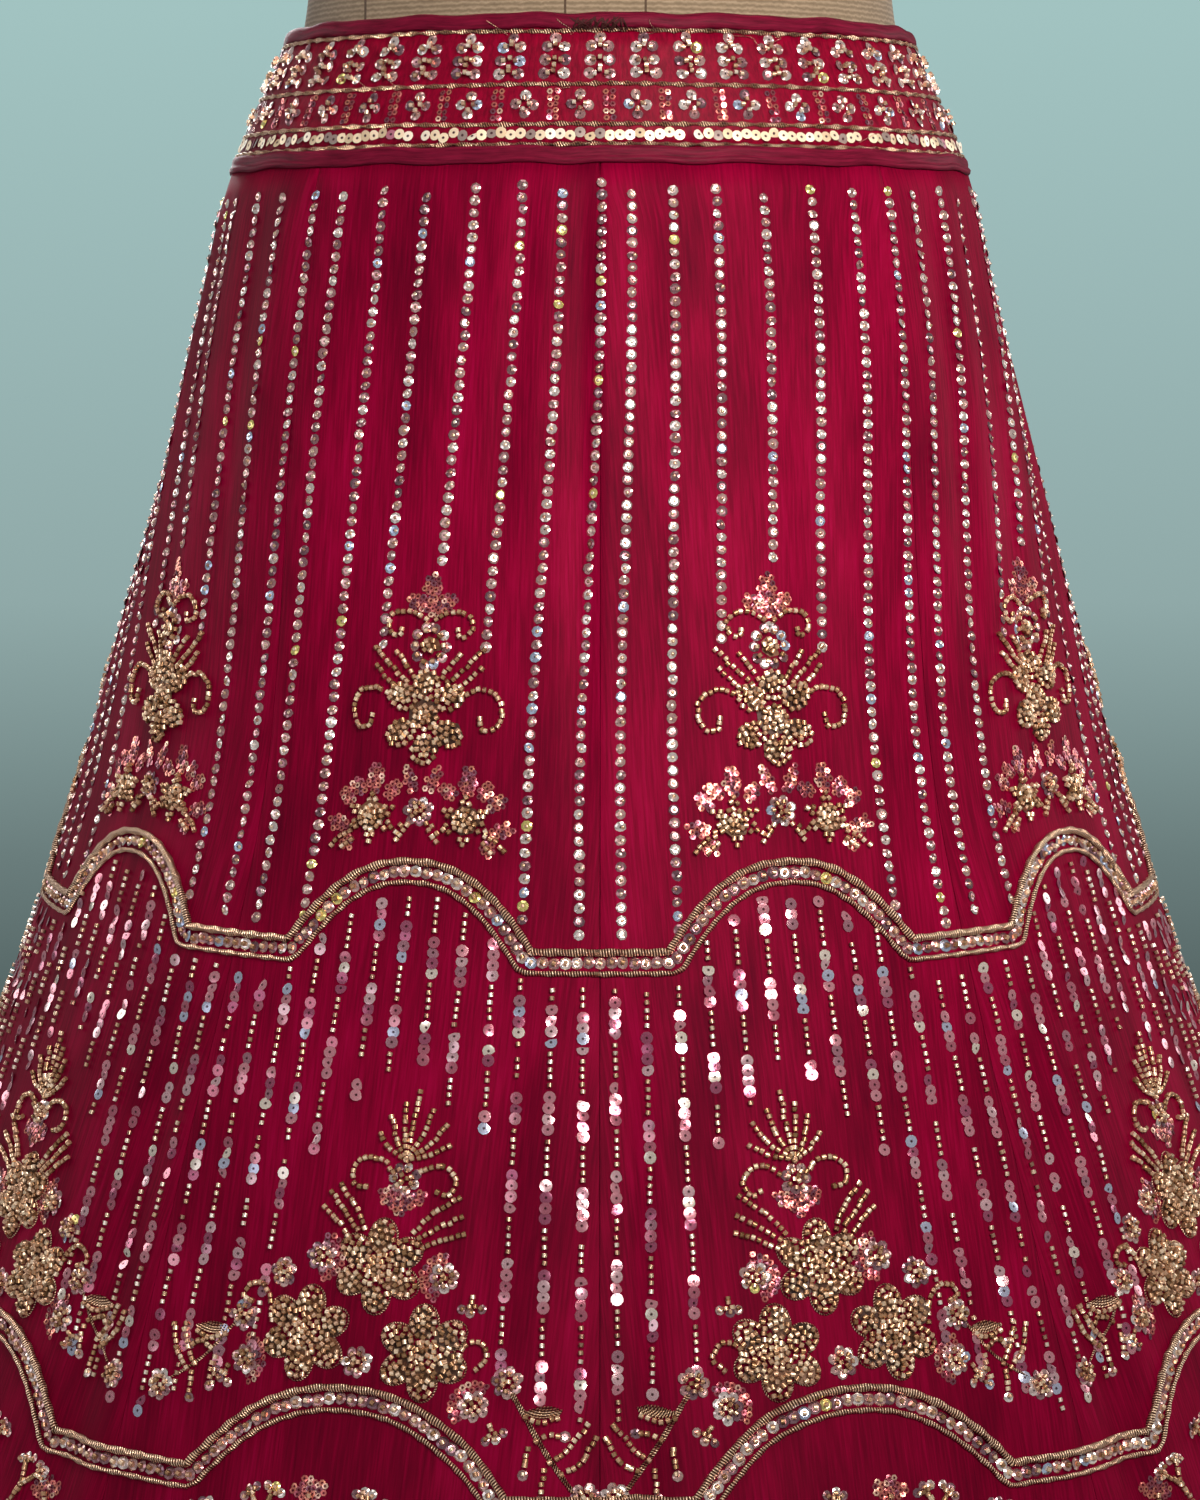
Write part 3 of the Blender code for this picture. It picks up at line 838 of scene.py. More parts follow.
SCALLOP_SEED, SCALLOP_PITCH = 11, 4.5
scallop_sequins, scallop_beads = [], []
for name in SCALLOPS:
    random = np.random.default_rng(SCALLOP_SEED)
    turn, height, slope = scallop_route(name, SCALLOP_PITCH)
    height = height + random.normal(0.0, 0.25, len(turn)) * MM
    size = random.normal(1.17, 0.04, len(turn))
    scallop_sequins.append(rows_of(turn, height, slope, 0.1, size))
    scallop_beads.append(rows_of(turn, height, slope + 1.2, 0.5, 0.95))
sewn("scallop_sequins", "cup", scallop_sequins, 21, 0.16)
sewn("scallop_beads", "bead", scallop_beads, 22)

# %% [markdown]
# ## First tier: lines of cup sequins
#
# Seven lines of cup sequins run down each kali from the waist, each sequin held by one bead. The
# outer lines reach the scallop. The three inner ones stop at the motif's crown and shoulders.

# %% Lines of the first tier
LINE_TOP = 0.9665
LINE_SHARES = np.array([-0.445, -0.300, -0.155, 0.0, 0.155, 0.300, 0.445])
LINE_ENDS = np.array([0.0, 0.0, 0.7825, 0.8150, 0.7825, 0.0, 0.0])
LINE_SEQUINS, LINE_FALL, ABOVE_SCALLOP = 64, 0.955, 0.0078
SEQUIN_PITCH = 5.25
TIER_SEED = 31
LINE_DRIFT, DRIFT_ENDS = 0.040, 0.72
BEAD_SIDES, BEAD_SIDE_ODDS = [0.0, 0.9, -0.7], [0.62, 0.28, 0.10]


def tier_one():
    """Along each line the sequins are a pitch apart; the array has a row for each line and a
    column for each sequin, and those past the line's end are dropped."""
    random = np.random.default_rng(TIER_SEED)
    share, stop = np.tile(LINE_SHARES, PANELS)[:, None], np.tile(LINE_ENDS, PANELS)[:, None]
    middle = np.repeat(np.arange(PANELS) + 0.5, len(LINE_SHARES))[:, None]
    stop = np.where(stop > 0, stop, scallop_height("upper", share) + ABOVE_SCALLOP)
    start = LINE_TOP + random.normal(0.0, 0.0022, share.shape)
    height = start - np.arange(LINE_SEQUINS) * SEQUIN_PITCH * MM * LINE_FALL
    sway = np.cumsum(random.normal(0.0, 0.00042, height.shape), axis=1)
    sway = sway - sway.mean(axis=1, keepdims=True) * 0.8
    drift = LINE_DRIFT * eased(height, DRIFT_ENDS, LINE_TOP)
    turn = (middle + share + sway) * PANEL_TURN + drift
    keep = height > stop
    turn, height = turn[keep], height[keep]
    side = random.choice(BEAD_SIDES, p=BEAD_SIDE_ODDS, size=len(turn))
    bead_turn = turn + turn_for(turn, height, side * MM)
    size = random.normal(1.0, 0.035, len(turn))
    spin = random.uniform(0, math.tau, len(turn))
    return rows_of(turn, height, spin, 0.0, size), rows_of(bead_turn, height, spin, 0.45, 0.92)


tier_sequins, tier_beads = tier_one()
sewn("first_tier_sequins", "cup", [tier_sequins], 32, 0.15)
sewn("first_tier_beads", "dome", [tier_beads], 33, 0.2)

# %% [markdown]
# ## Second tier: dashes of sequins and beads
#
# Below the scallop, thirteen lines run down each kali, with four flat sequins, then five seed
# beads, over and over. Each line starts at its own place in the pattern, so the dashes scatter.

# %% Lines of the second tier
SECOND_LINES, SECOND_FALL, UNDER_SCALLOP = 13, 0.935, 0.0075
DASH_REPEATS, DASH_GAP, BARE_SHARE = 9, 1.2, 0.04
# For each kind in a dash: how many, and their pitch in mm.
DASH = (("flat", 4, 4.1), ("seed", 5, 3.05))
FAN_MIDDLE, FAN_HALF = 0.055, 0.25


def dash_pattern():
    """Distances in mm down one repeat of the pattern, with the kind at each."""
    distance, kinds, at = [], [], 0.0
    for kind, count, pitch in DASH:
        distance += [at + pitch * (i + 0.5) for i in range(count)]
        kinds += [kind] * count
        at += pitch * count + DASH_GAP
    return np.array(distance), np.array(kinds), at


def second_line_end(share, mirror):
    """Where the lines stop: sloping down from the fan in the middle of a panel, so as to clear
    the flowers, and a little above the lower scallop at its sides."""
    away = np.abs(share * mirror - FAN_MIDDLE)
    fan = 0.627 - 0.20 * np.clip(away - 0.02, 0.0, 0.30)
    return np.where(away > FAN_HALF, 0.514 - 0.10 * (away - FAN_HALF), fan)


def tier_two():
    """Rows are lines and columns are repeats of the pattern, shifted down each line."""
    random = np.random.default_rng(TIER_SEED + 1)
    distance, kinds, repeat = dash_pattern()
    lines = np.arange(SECOND_LINES) - SECOND_LINES // 2
    share = np.tile(lines / SECOND_LINES, PANELS)[:, None]
    middle = np.repeat(np.arange(PANELS) + 0.5, SECOND_LINES)[:, None]
    mirror = np.where(middle % 2 < 1, -1.0, 1.0)
    top = scallop_height("upper", share) - UNDER_SCALLOP
    shift = random.uniform(0, repeat, share.shape)
    repeats = np.arange(DASH_REPEATS)[:, None] - 1
    run = (distance + repeats * repeat).ravel() + shift
    run = run + random.normal(0.0, 0.12, run.shape)
    height = top - run * MM * SECOND_FALL
    bare = random.random(run.shape) < BARE_SHARE
    keep = (run > 1.0) & (height > second_line_end(share, mirror)) & ~bare
    sway = np.cumsum(random.normal(0.0, 0.0006, height.shape), axis=1)
    turn = (middle + share + sway) * PANEL_TURN
    spin = random.normal(0.0, 0.10, height.shape)
    lift = np.where(np.arange(height.shape[1]) % 2 == 0, 0.0, 0.35) * np.ones_like(height)
    placed = []
    for name, _, _ in DASH:
        of_kind = keep & (np.tile(kinds, DASH_REPEATS) == name)
        raised = lift[of_kind] if name == "flat" else 0.0
        placed.append(rows_of(turn[of_kind], height[of_kind], spin[of_kind], raised))
    return placed


second_sequins, second_beads = tier_two()
sewn("second_tier_sequins", "flat", [second_sequins], 41, 0.13)
sewn("second_tier_beads", "seed", [second_beads], 42)

# %% [markdown]
# ## Motifs
#
# A motif is drawn once, in millimetres about its main flower, from a few parts: strings of beads
# along a curve, petals filled with beads, small sequin flowers and sprays of tiny sequins. Each
# panel then gets its own copy, and every second one is mirrored, as the pattern on the cloth is.


# %% Places along lines and round points, in millimetres
def polar(degrees, reach=1.0):
    """The point at an angle and a reach."""
    angle = math.radians(degrees)
    return reach * math.cos(angle), reach * math.sin(angle)


def along_lean(x, y, lean, along, across):
    """Points along and across a direction that leans by some degrees, from x and y."""
    cos, sin = polar(lean)
    return x + along * cos - across * sin, y + along * sin + across * cos


def round_about(x, y, angle, reach):
    """Points round x and y at angles and a reach."""
    return x + reach * np.cos(angle), y + reach * np.sin(angle)


def curve_through(points, steps=14):
    """A smooth line through a few points: on each stretch the cubic whose slopes are half the
    step between the points on its two sides."""
    p = np.array(points, float)
    p = np.concatenate([2 * p[:1] - p[1:2], p, 2 * p[-1:] - p[-2:-1]])
    t = np.linspace(0, 1, steps, endpoint=False)[:, None]
    runs = []
    for a, b, c, d in zip(p, p[1:], p[2:], p[3:]):
        m, n = (c - a) / 2, (d - b) / 2
        ends = b * (2 * t**3 - 3 * t**2 + 1) + c * (3 * t**2 - 2 * t**3)
        runs.append(ends + m * (t**3 - 2 * t**2 + t) + n * (t**3 - t**2))
    return np.concatenate(runs + [p[-2:-1]])


def evenly(points, pitch):
    """Places a pitch apart along a line, with the line's direction at each."""
    run = run_along(points)
    count = max(2, int(round(run[-1] / pitch)) + 1)
    at = np.linspace(0, run[-1], count)
    x, y = np.interp(at, run, points[:, 0]), np.interp(at, run, points[:, 1])
    return x, y, np.arctan2(np.gradient(y), np.gradient(x)) - math.pi / 2


# %% Parts of a motif; each gives rows of (kind, x, y, spin, lift, size)
def part(kind, x, y, spin=0.0, lift=0.0, size=1.0):
    """One kind at several places, as (kind, array of x, y, spin, lift, size)."""
    return kind, rows_of(np.asarray(x, float), np.asarray(y, float), spin, lift, size)


def bead_string(*points, pitch=2.4):
    """Beads along a smooth line through some points."""
    return [part("bead", *evenly(curve_through(points), pitch))]


def strings(lines, both_sides=False):
    """Strings of beads, and the same on the other side of the motif's middle if wanted."""
    made = []
    for line in lines:
        made += bead_string(*line)
        if both_sides:
            made += bead_string(*((-x, y) for x, y in line))
    return made


def pad(x, y, radius):
    """A thin disc of couched gold thread, under beads."""
    return part("pad", x, y, 0.0, -0.1, radius)


def bead_disc(x, y, radius, seed, pitch=2.35, lean=None):
    """Beads that fill a disc in rings, six more in each, heaped towards the middle, on a pad of
    gold thread. A lean in degrees draws the disc out a quarter along that way, as a petal."""
    random = np.random.default_rng(seed)
    found = [np.zeros((1, 2))]
    for ring in range(1, int(radius / pitch) + 1):
        angle = round_angles(6 * ring) + random.uniform(0, 1)
        found.append(np.stack([np.cos(angle), np.sin(angle)], 1) * ring * pitch * 0.96)
    at = np.concatenate(found)
    if lean is not None:
        way = np.array(polar(lean))
        at = at + 0.24 * (at @ way)[:, None] * way
    away = np.hypot(*at.T) / radius
    spin = random.uniform(0, math.tau, len(at))
    heap = 1.3 * (1 - away).clip(0)
    return [pad(x, y, radius), part("bead", x + at[:, 0], y + at[:, 1], spin, heap, 1.04)]


def bead_flower(x, y, start, seed, reach=11.3, petal=6.2, petals=6):
    """Petals of beads set round a middle of beads."""
    made = bead_disc(x, y, 4.8, seed, 2.2)
    for i in range(petals):
        lean = start + 360 / petals * i
        dx, dy = polar(lean, reach)
        made += bead_disc(x + dx, y + dy, petal, seed + i, lean=lean)
    return made


# %% Sequin flowers, sprays of tiny sequins and buds
def sequin_flower(x, y, reach=4.3, petals=7, size=0.95):
    """Cup sequins in a ring, each on the last, round a small heap of beads."""
    angle, inner = round_angles(petals) + 0.4, round_angles(3)
    return [
        part("cup", *round_about(x, y, angle, reach), angle, 0.1, size),
        part("bead", *round_about(x, y, angle, reach * 0.78), angle + 1.6, 0.6, 0.85),
        part("bead", *round_about(x, y, inner, 1.3), inner, 0.9, 0.95),
    ]


def pink_arc(x, y, start, sweep=160.0, reach=6.6):
    """Two rows of tiny sequins round part of a flower."""
    made = []
    for row, radius in enumerate((reach, reach + 2.1)):
        count = int(math.radians(sweep) * radius / 2.2)
        angle = math.radians(start) + np.linspace(-0.5, 0.5, count) * math.radians(sweep)
        made.append(part("pink", *round_about(x, y, angle, radius), angle, 0.1 * row))
    return made


def pink_leaf(x, y, lean, length, wide):
    """Tiny sequins that fill a leaf: rows along its length, as many in each as it is wide."""
    along, across = [], []
    for row in range(int(length / 2.0)):
        at = (row + 0.5) * 2.0
        half = wide / 2 * math.sin(math.pi * min(1.0, (at / length) ** 0.8)) + 0.3
        places = np.arange(-half, half + 0.1, 2.0) + (0.5 if row % 2 else 0.0)
        along += [at] * len(places)
        across += list(places)
    return [part("pink", *along_lean(x, y, lean, np.array(along), np.array(across)), 0.0, 0.15)]


def bud(x, y, lean, size=1.0):
    """Three sequins at the end of a small wedge of beads."""
    wedge = np.array([0.0, 1.9, 3.6, 3.6]) * size, np.array([0.0, 0.0, 1.2, -1.2]) * size
    spin, tip = math.radians(lean) - math.pi / 2, np.radians([lean - 38, lean, lean + 38])
    return [
        part("bead", *along_lean(x, y, lean, *wedge), spin, 0.0, 0.9),
        part("cup", *round_about(x, y, tip, 6.0 * size), tip, 0.1, 0.85),
        part("bead", *round_about(x, y, tip, 5.6 * size), tip, 0.6, 0.8),
    ]


# %% The upper motif: a vase of beads with scrolls
STAR_TIPS = (25, 90, 155, 205, 270, 335)
STAR_SPRAYS = (  # from the star's middle, lean, length and width
    (0.0, 10.0, 92, 13.0, 5.4), (-5.0, 9.0, 138, 8.0, 4.4), (4.5, 9.0, 50, 8.0, 4.6),
    (9.0, 5.0, 42, 9.5, 4.6), (10.5, -4.0, 8, 10.0, 5.0), (8.0, -9.0, -38, 7.5, 4.0),
)
STAR_RADIUS, STAR_PAD, PETAL_RADIUS, VASE_PAD = 5.9, 6.8, 5.9, 7.6


def star_leaf(x, y, side, seed):
    """A bead star with sprays of tiny sequins at its tips, for the foot of the upper motif."""
    made = [pad(x, y, STAR_PAD)] + bead_disc(x, y, STAR_RADIUS, seed)
    for degrees in STAR_TIPS:
        way = np.array(polar(degrees)) * (side, 1)
        aside = np.array([-way[1], way[0]])
        at = np.stack([way * 7.2 + aside * 1.3, way * 7.2 - aside * 1.3, way * 9.5])
        made += [part("bead", x + at[:, 0], y + at[:, 1], degrees, 0.2)]
    for dx, dy, lean, length, wide in STAR_SPRAYS:
        lean = lean if side > 0 else 180 - lean
        made += pink_leaf(x + side * dx, y + dy, lean, length, wide)
    made += bead_string((x + side * 9, y - 6), (x + side * 13, y - 8), (x + side * 17, y - 12))
    made += bead_string((x + side * 8, y - 9), (x + side * 12, y - 12.5))
    return made


UPPER_SPRAYS = ((0, 45, 90, 12), (-1, 41, 145, 10), (1, 41, 35, 10), (0, 38, 90, 9))
UPPER_SCROLLS = (
    [(2, 37), (7, 40), (13, 40), (16.5, 36), (15.5, 31.5), (12, 30), (11, 33)],
    [(14, 6), (21, 8.5), (28, 6), (30.5, -1), (28, -7.5), (23, -7.5), (22, -3)],
)
UPPER_FRONDS = (
    [(4.5, 11), (8.0, 17), (12.5, 23.0)],
    [(8.5, 11), (14.5, 17), (21.5, 25.0)],
    [(11.5, 8.5), (16.0, 12), (20.5, 17.0)],
)
VASE_PETALS = ((0, 10.0), (9.4, 5.0), (-9.4, 5.0), (9.6, -10.0), (-9.6, -10.0), (0.4, -16.5))
CROWN_LEVEL = 26


def upper_motif():
    """Heights run from the spray at +56 mm down to the star leaves at -57 mm."""
    made = []
    for x, y, lean, long in UPPER_SPRAYS:
        made += pink_leaf(x, y, lean, long, 5.6)
    made += strings(UPPER_SCROLLS, both_sides=True)
    made += [part("cup", 0, 34.0, 0.0, 0.2, 1.0)]
    angle = round_angles(10)
    x, y = 6.3 * np.cos(angle), 7.6 * np.sin(angle)
    made += [part("cup", x, CROWN_LEVEL + y, angle, 0.1)]
    made += [part("bead", x * 0.86, CROWN_LEVEL + y * 0.86, angle, 0.6)]
    made += bead_disc(0, CROWN_LEVEL, 4.6, 5)
    made += strings(UPPER_FRONDS, both_sides=True)
    for i, (x, y) in enumerate(VASE_PETALS):
        lean = math.degrees(math.atan2(y + 3.0, x))
        made += bead_disc(x, y, PETAL_RADIUS, 60 + i, lean=lean)
    made += bead_disc(0, -3.4, 4.9, 71)
    made += [pad(0.0, -3.0, VASE_PAD)]
    for side in (-1, 1):
        made += star_leaf(side * 19.5, -44.5, side, 80 + side)
        made += pink_leaf(side * 2.8, -33.5, 90 - side * 22, 12.0, 3.4)
        made += bead_string((side * 4.0, -46.5), (side * 6.0, -50.0), (side * 8.5, -53.0))
        made += bead_string((side * 6.5, -47.5), (side * 8.5, -50.0))
    made += sequin_flower(0, -41.0, 4.2)
    return made


# %% The lower motif: three flowers, a fan and sprays
FAN_ENDS = ((-6, 51), (-2, 58), (3, 63), (8, 68), (14, 61), (20, 56), (22, 48))
FAN_FOOT, FAN_KNEE = (5.5, 41.5), np.array([5.2, 41.0])
LOWER_SCROLLS = (
    [(1, 36), (-3, 40.5), (-10.5, 41.5), (-15.5, 37), (-14.0, 31), (-9.5, 30)],
    [(12, 37), (17, 39.5), (23, 38.5), (26.5, 33.5), (24, 28.5), (20, 29.5)],
)
LOWER_FRONDS = (
    [(-8, 14), (-12.5, 22), (-19.8, 30)], [(-11, 13), (-16.5, 19.5), (-23, 26.5)],
    [(-14, 10.5), (-19, 16.0), (-25, 21.0)], [(12.5, 14), (19, 21), (28.5, 28)],
    [(15, 11.5), (21.5, 16), (30.5, 20.5)], [(16.5, 8), (24, 11.5), (32, 14)],
)
CURLS = (
    [(-42, -25), (-43.5, -18), (-48, -12), (-54, -12.5), (-57, -17), (-53, -19)],
    [(34.5, -34), (37, -28), (43.5, -27), (46.5, -33), (42.5, -37)],
)
# Each row: x, y, the turn of the first petal, and the seed.
BEAD_FLOWERS = ((0, 0, 30, 100), (-27.0, -27.5, 85, 120), (21.5, -31.5, 95, 140))
# Each row: x, y, and the start of the arc of tiny sequins, or none.
SEQUIN_FLOWERS = (
    (-40.0, -6.0, None), (-24.0, 2.0, 0), (26.0, -3.0, 170), (-4.5, -37.0, None),
    (-56.0, -24.5, None), (-52.5, -41.0, 10), (55.0, -41.0, None), (43.0, -51.0, 140),
)


def lower_motif():
    """Drawn about its top flower, a little to one side of the panel's middle."""
    made = []
    for end in FAN_ENDS:
        made += bead_string(FAN_FOOT, FAN_KNEE + (end - FAN_KNEE) * (0.62, 0.45), end)
    made += sequin_flower(5.7, 34.0, 4.6)
    for lean, x in ((200, 2.0), (235, 3.5), (305, 7.5), (340, 9.0)):
        made += pink_leaf(x, 28.5, lean, 7.0, 5.0)
    made += pink_leaf(5.5, 29.5, 270, 10.0, 7.0)
    made += strings(LOWER_SCROLLS + LOWER_FRONDS)
    for flower in BEAD_FLOWERS:
        made += bead_flower(*flower)
    for x, y, arc in SEQUIN_FLOWERS:
        made += sequin_flower(x, y)
        if arc is not None:
            made += pink_arc(x, y, arc)
    made += bud(-59.5, -45.0, 235) + bud(38.0, -10.0, 270) + bud(50.5, -57.5, 300)
    return made + strings(CURLS)


# %% Twigs beside the motif, hanging strings and sprigs under the arches
TWIGS = {  # by side: the stem, the leaf's middle, strings that rise, strings that hang, the foot
    1: (
        [(57, -45), (61.5, -51), (69, -62), (75, -70), (83, -79.5), (87, -82)],
        (70, -51.5),
        ([(69.5, -62), (73, -60), (77, -60.5)], [(75, -70), (80.5, -66), (87.5, -56.5)],
         [(80, -74), (86, -71), (91, -61)]),
        ([(66, -65), (65.5, -71.5)], [(73, -73), (73, -81)]),
        (89.5, -83.5),
    ),
    -1: (
        [(-59, -28), (-63, -32), (-69, -40), (-77, -47), (-85, -52.5)],
        (-69, -31.0),
        ([(-68, -39), (-73, -36.5), (-76, -38.5)], [(-74.5, -46), (-79, -38.5), (-81.5, -31)],
         [(-78, -48), (-84, -41), (-86.5, -32)]),
        ([(-66, -42), (-67, -50)], [(-75, -49), (-75, -56)]),
        (-90.0, -56.0),
    ),
}


def seam_twig(side):
    """Strings of beads on both sides of a stem that runs down to the low of the scallop, sequins
    at the hanging ends and a sequin flower at its foot."""
    _, (leaf_x, leaf_y), rising, hanging, foot = TWIGS[side]
    made = strings(rising)
    for line in hanging:
        x, y = line[1]
        made += bead_string(*line)
        made += [part("cup", x, y - 3.2, 0.0, 0.1, 0.95), part("bead", x, y - 2.6, 0.0, 0.6, 0.85)]
    tip = rising[0][-1]
    made += [part("cup", tip[0] + side * 2.2, tip[1], 0.0, 0.15, 1.0)]
    low, end = leaf_y - 4, leaf_y - 2
    made += bead_string((leaf_x - 6, end), (leaf_x, low), (leaf_x + 6, end))
    return made + sequin_flower(*foot, 4.0)


# %% Gilt lines of the lower motif
LEAF_RIBS, RIB_SPACING, RIB_TALL = 11, 1.3, 4.6
PETAL_HALF, PETAL_IN, PETAL_OUT = 0.52, 10.4, 8.2


def zari_lines():
    """The gilt parts of the lower motif: the two stems, doubled, the ribs of the leaves, and the
    outline of each petal, whose reach is in + out cos(2.7 a) at a turn a from its middle."""
    lines = []
    for stem, (leaf_x, leaf_y), *_ in TWIGS.values():
        stem = curve_through(stem, 6)
        lines += [(stem, 0.50), (stem + (0.9, 0.5), 0.42)]
        for i in range(LEAF_RIBS):
            x = leaf_x - 6.5 + RIB_SPACING * i
            half = RIB_TALL / 2 * math.sin(math.pi * (i + 0.7) / (LEAF_RIBS + 1.4))
            rib = [(x - 0.8, leaf_y - half), (x, leaf_y), (x + 0.6, leaf_y + half)]
            lines.append((curve_through(rib, 2), 0.55))
    for x, y, start, _ in BEAD_FLOWERS:
        for a in math.radians(start) + round_angles(6):
            t = np.linspace(a - PETAL_HALF, a + PETAL_HALF, 9)
            reach = PETAL_IN + PETAL_OUT * np.cos((t - a) * 2.7)
            lines.append((np.stack(round_about(x, y, t, reach), 1), 0.34))
    return lines


# %% Sprigs
def sprig(x, y, lean, seed):
    """A twig of beads that forks into two buds."""
    random = np.random.default_rng(seed)
    fork = along_lean(x, y, lean, 9, 0)
    made = bead_string((x, y), fork, pitch=2.1)
    for spread in (-34, 30):
        way = lean + spread + random.uniform(-6, 6)
        tip = along_lean(*fork, way, 6, 0)
        made += bead_string(fork, tip, pitch=2.1) + bud(*tip, way, 0.85)
    return made


def pink_sprig(x, y, lean):
    """A stem of beads with three leaves of tiny sequins."""
    head = along_lean(x, y, lean, 8, 0)
    made = bead_string((x, y), head, pitch=2.1)
    for spread in (-58, 0, 55):
        made += pink_leaf(*head, lean + spread, 8.0, 4.4)
    return made


# %% [markdown]
# ### Placing the motifs
#
# A motif's millimetres become turns and heights by dividing by the cloth's own width for a turn
# and by the steepness of its fall, so that it keeps its true size wherever the skirt flares.

# %% Motifs on the panels
UPPER_AT, LOWER_AT = 0.7590, 0.5514
LOWER_ASIDE = 6.0
UPPER_FALL, LOWER_FALL, SKIRT_FALL = 0.955, 0.935, 0.930
HAND_WAVER = 0.22


def panel_reach(middle, height):
    """How far the plain oval carries a point for one turn: the length of (a cos t, b sin t)."""
    half = oval_at(OVALS, height)
    return np.hypot(half[..., 0] * math.cos(middle), half[..., 1] * math.sin(middle))


def on_panel(parts, number, level, fall, mirror=1, aside=0.0):
    """Each part's x and y in mm turned into a turn and a height on one panel."""
    random = np.random.default_rng(1000 + number)
    placed = {}
    middle = (number - 0.5) * PANEL_TURN
    for kind, rows in parts:
        x, y, spin, lift, size = rows.T
        x = (x + aside) * mirror + random.normal(0.0, HAND_WAVER, len(x))
        height = level + (y + random.normal(0.0, HAND_WAVER, len(y))) * MM * fall
        turn = middle + x * MM / panel_reach(middle, height)
        placed.setdefault(kind, []).append(rows_of(turn, height, spin * mirror, lift, size))
    return placed


# %% Where the sprigs go
LOW_SPOT_ROWS = (-144.0, -200.0, -260.0, -325.0, -395.0)


def low_spots():
    """Sprigs scattered below the lower scallop, in rows that spread as the skirt widens."""
    made = []
    random = np.random.default_rng(7)
    for row, y in enumerate(LOW_SPOT_ROWS):
        count, half = 3 + row // 3, 70 + 9 * row
        for i in range(count):
            x = -half + (i + 0.5 * (row % 2) + 0.25) * 2 * half / count
            x, drop = x + random.uniform(-4, 4), y + random.uniform(-5, 5)
            if (i + row) % 3 == 2:
                made += pink_sprig(x, drop, random.uniform(60, 120))
            else:
                made += sprig(x, drop, random.uniform(55, 125), 200 + 10 * row + i)
    return made


def arch_spots():
    """The sprigs right under the arch."""
    made = sprig(-52, -116, 115, 301) + sprig(-27, -106, 100, 302) + sprig(33, -108, 75, 303)
    made += pink_sprig(-9, -97, 100) + sprig(8, -104, 60, 304) + pink_sprig(52, -112, 70)
    made += sequin_flower(-17, -112, 3.9) + sequin_flower(22, -96, 3.9)
    return made + sprig(66, -122, 110, 305) + pink_sprig(-70, -118, 80)


# %% Put the motifs on every kali
motif_upper, motif_lower = upper_motif(), lower_motif() + seam_twig(1) + seam_twig(-1)
spots, gilt = low_spots() + arch_spots(), zari_lines()
placed, stems = {"upper_motif": {}, "lower_motif": {}, "sprig": {}}, []
for number in range(1, PANELS + 1):
    mirror, middle = (-1 if number % 2 else 1), (number - 0.5) * PANEL_TURN
    lower = on_panel(motif_lower, number, LOWER_AT, LOWER_FALL, mirror, LOWER_ASIDE)
    for title, found in (
        ("upper_motif", on_panel(motif_upper, number, UPPER_AT, UPPER_FALL)),
        ("lower_motif", lower),
        ("sprig", on_panel(spots, number, LOWER_AT, SKIRT_FALL, mirror)),
    ):
        for kind, rows in found.items():
            placed[title].setdefault(kind, []).extend(rows)
    for line, radius in gilt:
        height = LOWER_AT + line[:, 1] * MM * LOWER_FALL
        turn = middle + (line[:, 0] + LOWER_ASIDE) * mirror * MM / panel_reach(middle, height)
        stems.append(cord(turn, height, radius, sides=4))
cords_piece("motif_zari", stems)
for seed, (title, found) in zip((51, 61, 71), placed.items()):
    for kind, rows in found.items():
        sewn(f"{title}_{kind}", kind, rows, seed, 0.14)

# %% [markdown]
# ## The waistband's embroidery
#
# Three bands of work between four gilt cords: little trees of cup sequins, four-petalled flowers
# with bars of tiny sequins between, and a row of overlapping matt gold sequins.


# %% Even places round the waist
EDGE_TOP = 1.0405
SLIT_CLEAR = 0.003


def round_waist(height, pitch, start=0.0):
    """Turns a pitch in mm apart along the band, counted from the front both ways."""
    turn = waist_turns(1440)
    run = run_along(skirt(turn, np.full_like(turn, height)))
    middle = run[-1] / 2 + start * MM
    count = round(run[-1] / (pitch * MM))
    at = middle + (np.arange(count) - (count - 1) // 2) * (run[-1] / count)
    return np.interp(at[(at > SLIT_CLEAR) & (at < run[-1] - SLIT_CLEAR)], run, turn)


def on_band(parts, turns, level, seed):
    """A small pattern repeated at each turn; its y runs up from a level in millimetres below
    the band's top edge."""
    random = np.random.default_rng(seed)
    placed = {}
    for kind, rows in parts:
        x, y, spin, lift, size = (column[None] for column in rows.T)
        shape = (len(turns), x.shape[1])
        x = x + random.normal(0.0, HAND_WAVER, shape)
        height = EDGE_TOP + (y - level + random.normal(0.0, HAND_WAVER, shape)) * MM
        turn = turns[:, None] + turn_for(turns[:, None], height, x * MM)
        placed[kind] = placed.get(kind, []) + [rows_of(turn, height, spin, lift, size)]
    return placed


# %% Trees, flowers, bars and the gold row
TREE_TIERS = ((3.7, -14.3), (4.1, -19.8), (4.2, -25.2))


def band_tree():
    """One sequin at the crown and a pair on each of three tiers, with beads between."""
    x, y = [0.0], [-10.4]
    bead_x, bead_y = [0.0, 0.0], [-12.4, -22.4]
    for reach, level in TREE_TIERS:
        x, y = x + [-reach, reach], y + [level, level]
        bead_x, bead_y = bead_x + [-2.5, 0.0, 2.5], bead_y + [level - 0.3, level + 0.6, level - 0.3]
    return [part("cup", x, y, 0.0, 0.1, 1.12), part("seed", bead_x, bead_y, 1.57, 0.8, 1.05)]


def band_flower():
    """Four sequins in a ring, each held by its own bead."""
    angle = np.radians([90, 180, 270, 0])
    return [
        part("cup", 3.7 * np.cos(angle), 3.9 * np.sin(angle), angle, 0.1, 1.05),
        part("seed", 2.1 * np.cos(angle), 2.3 * np.sin(angle), angle + 1.57, 0.8, 1.0),
    ]


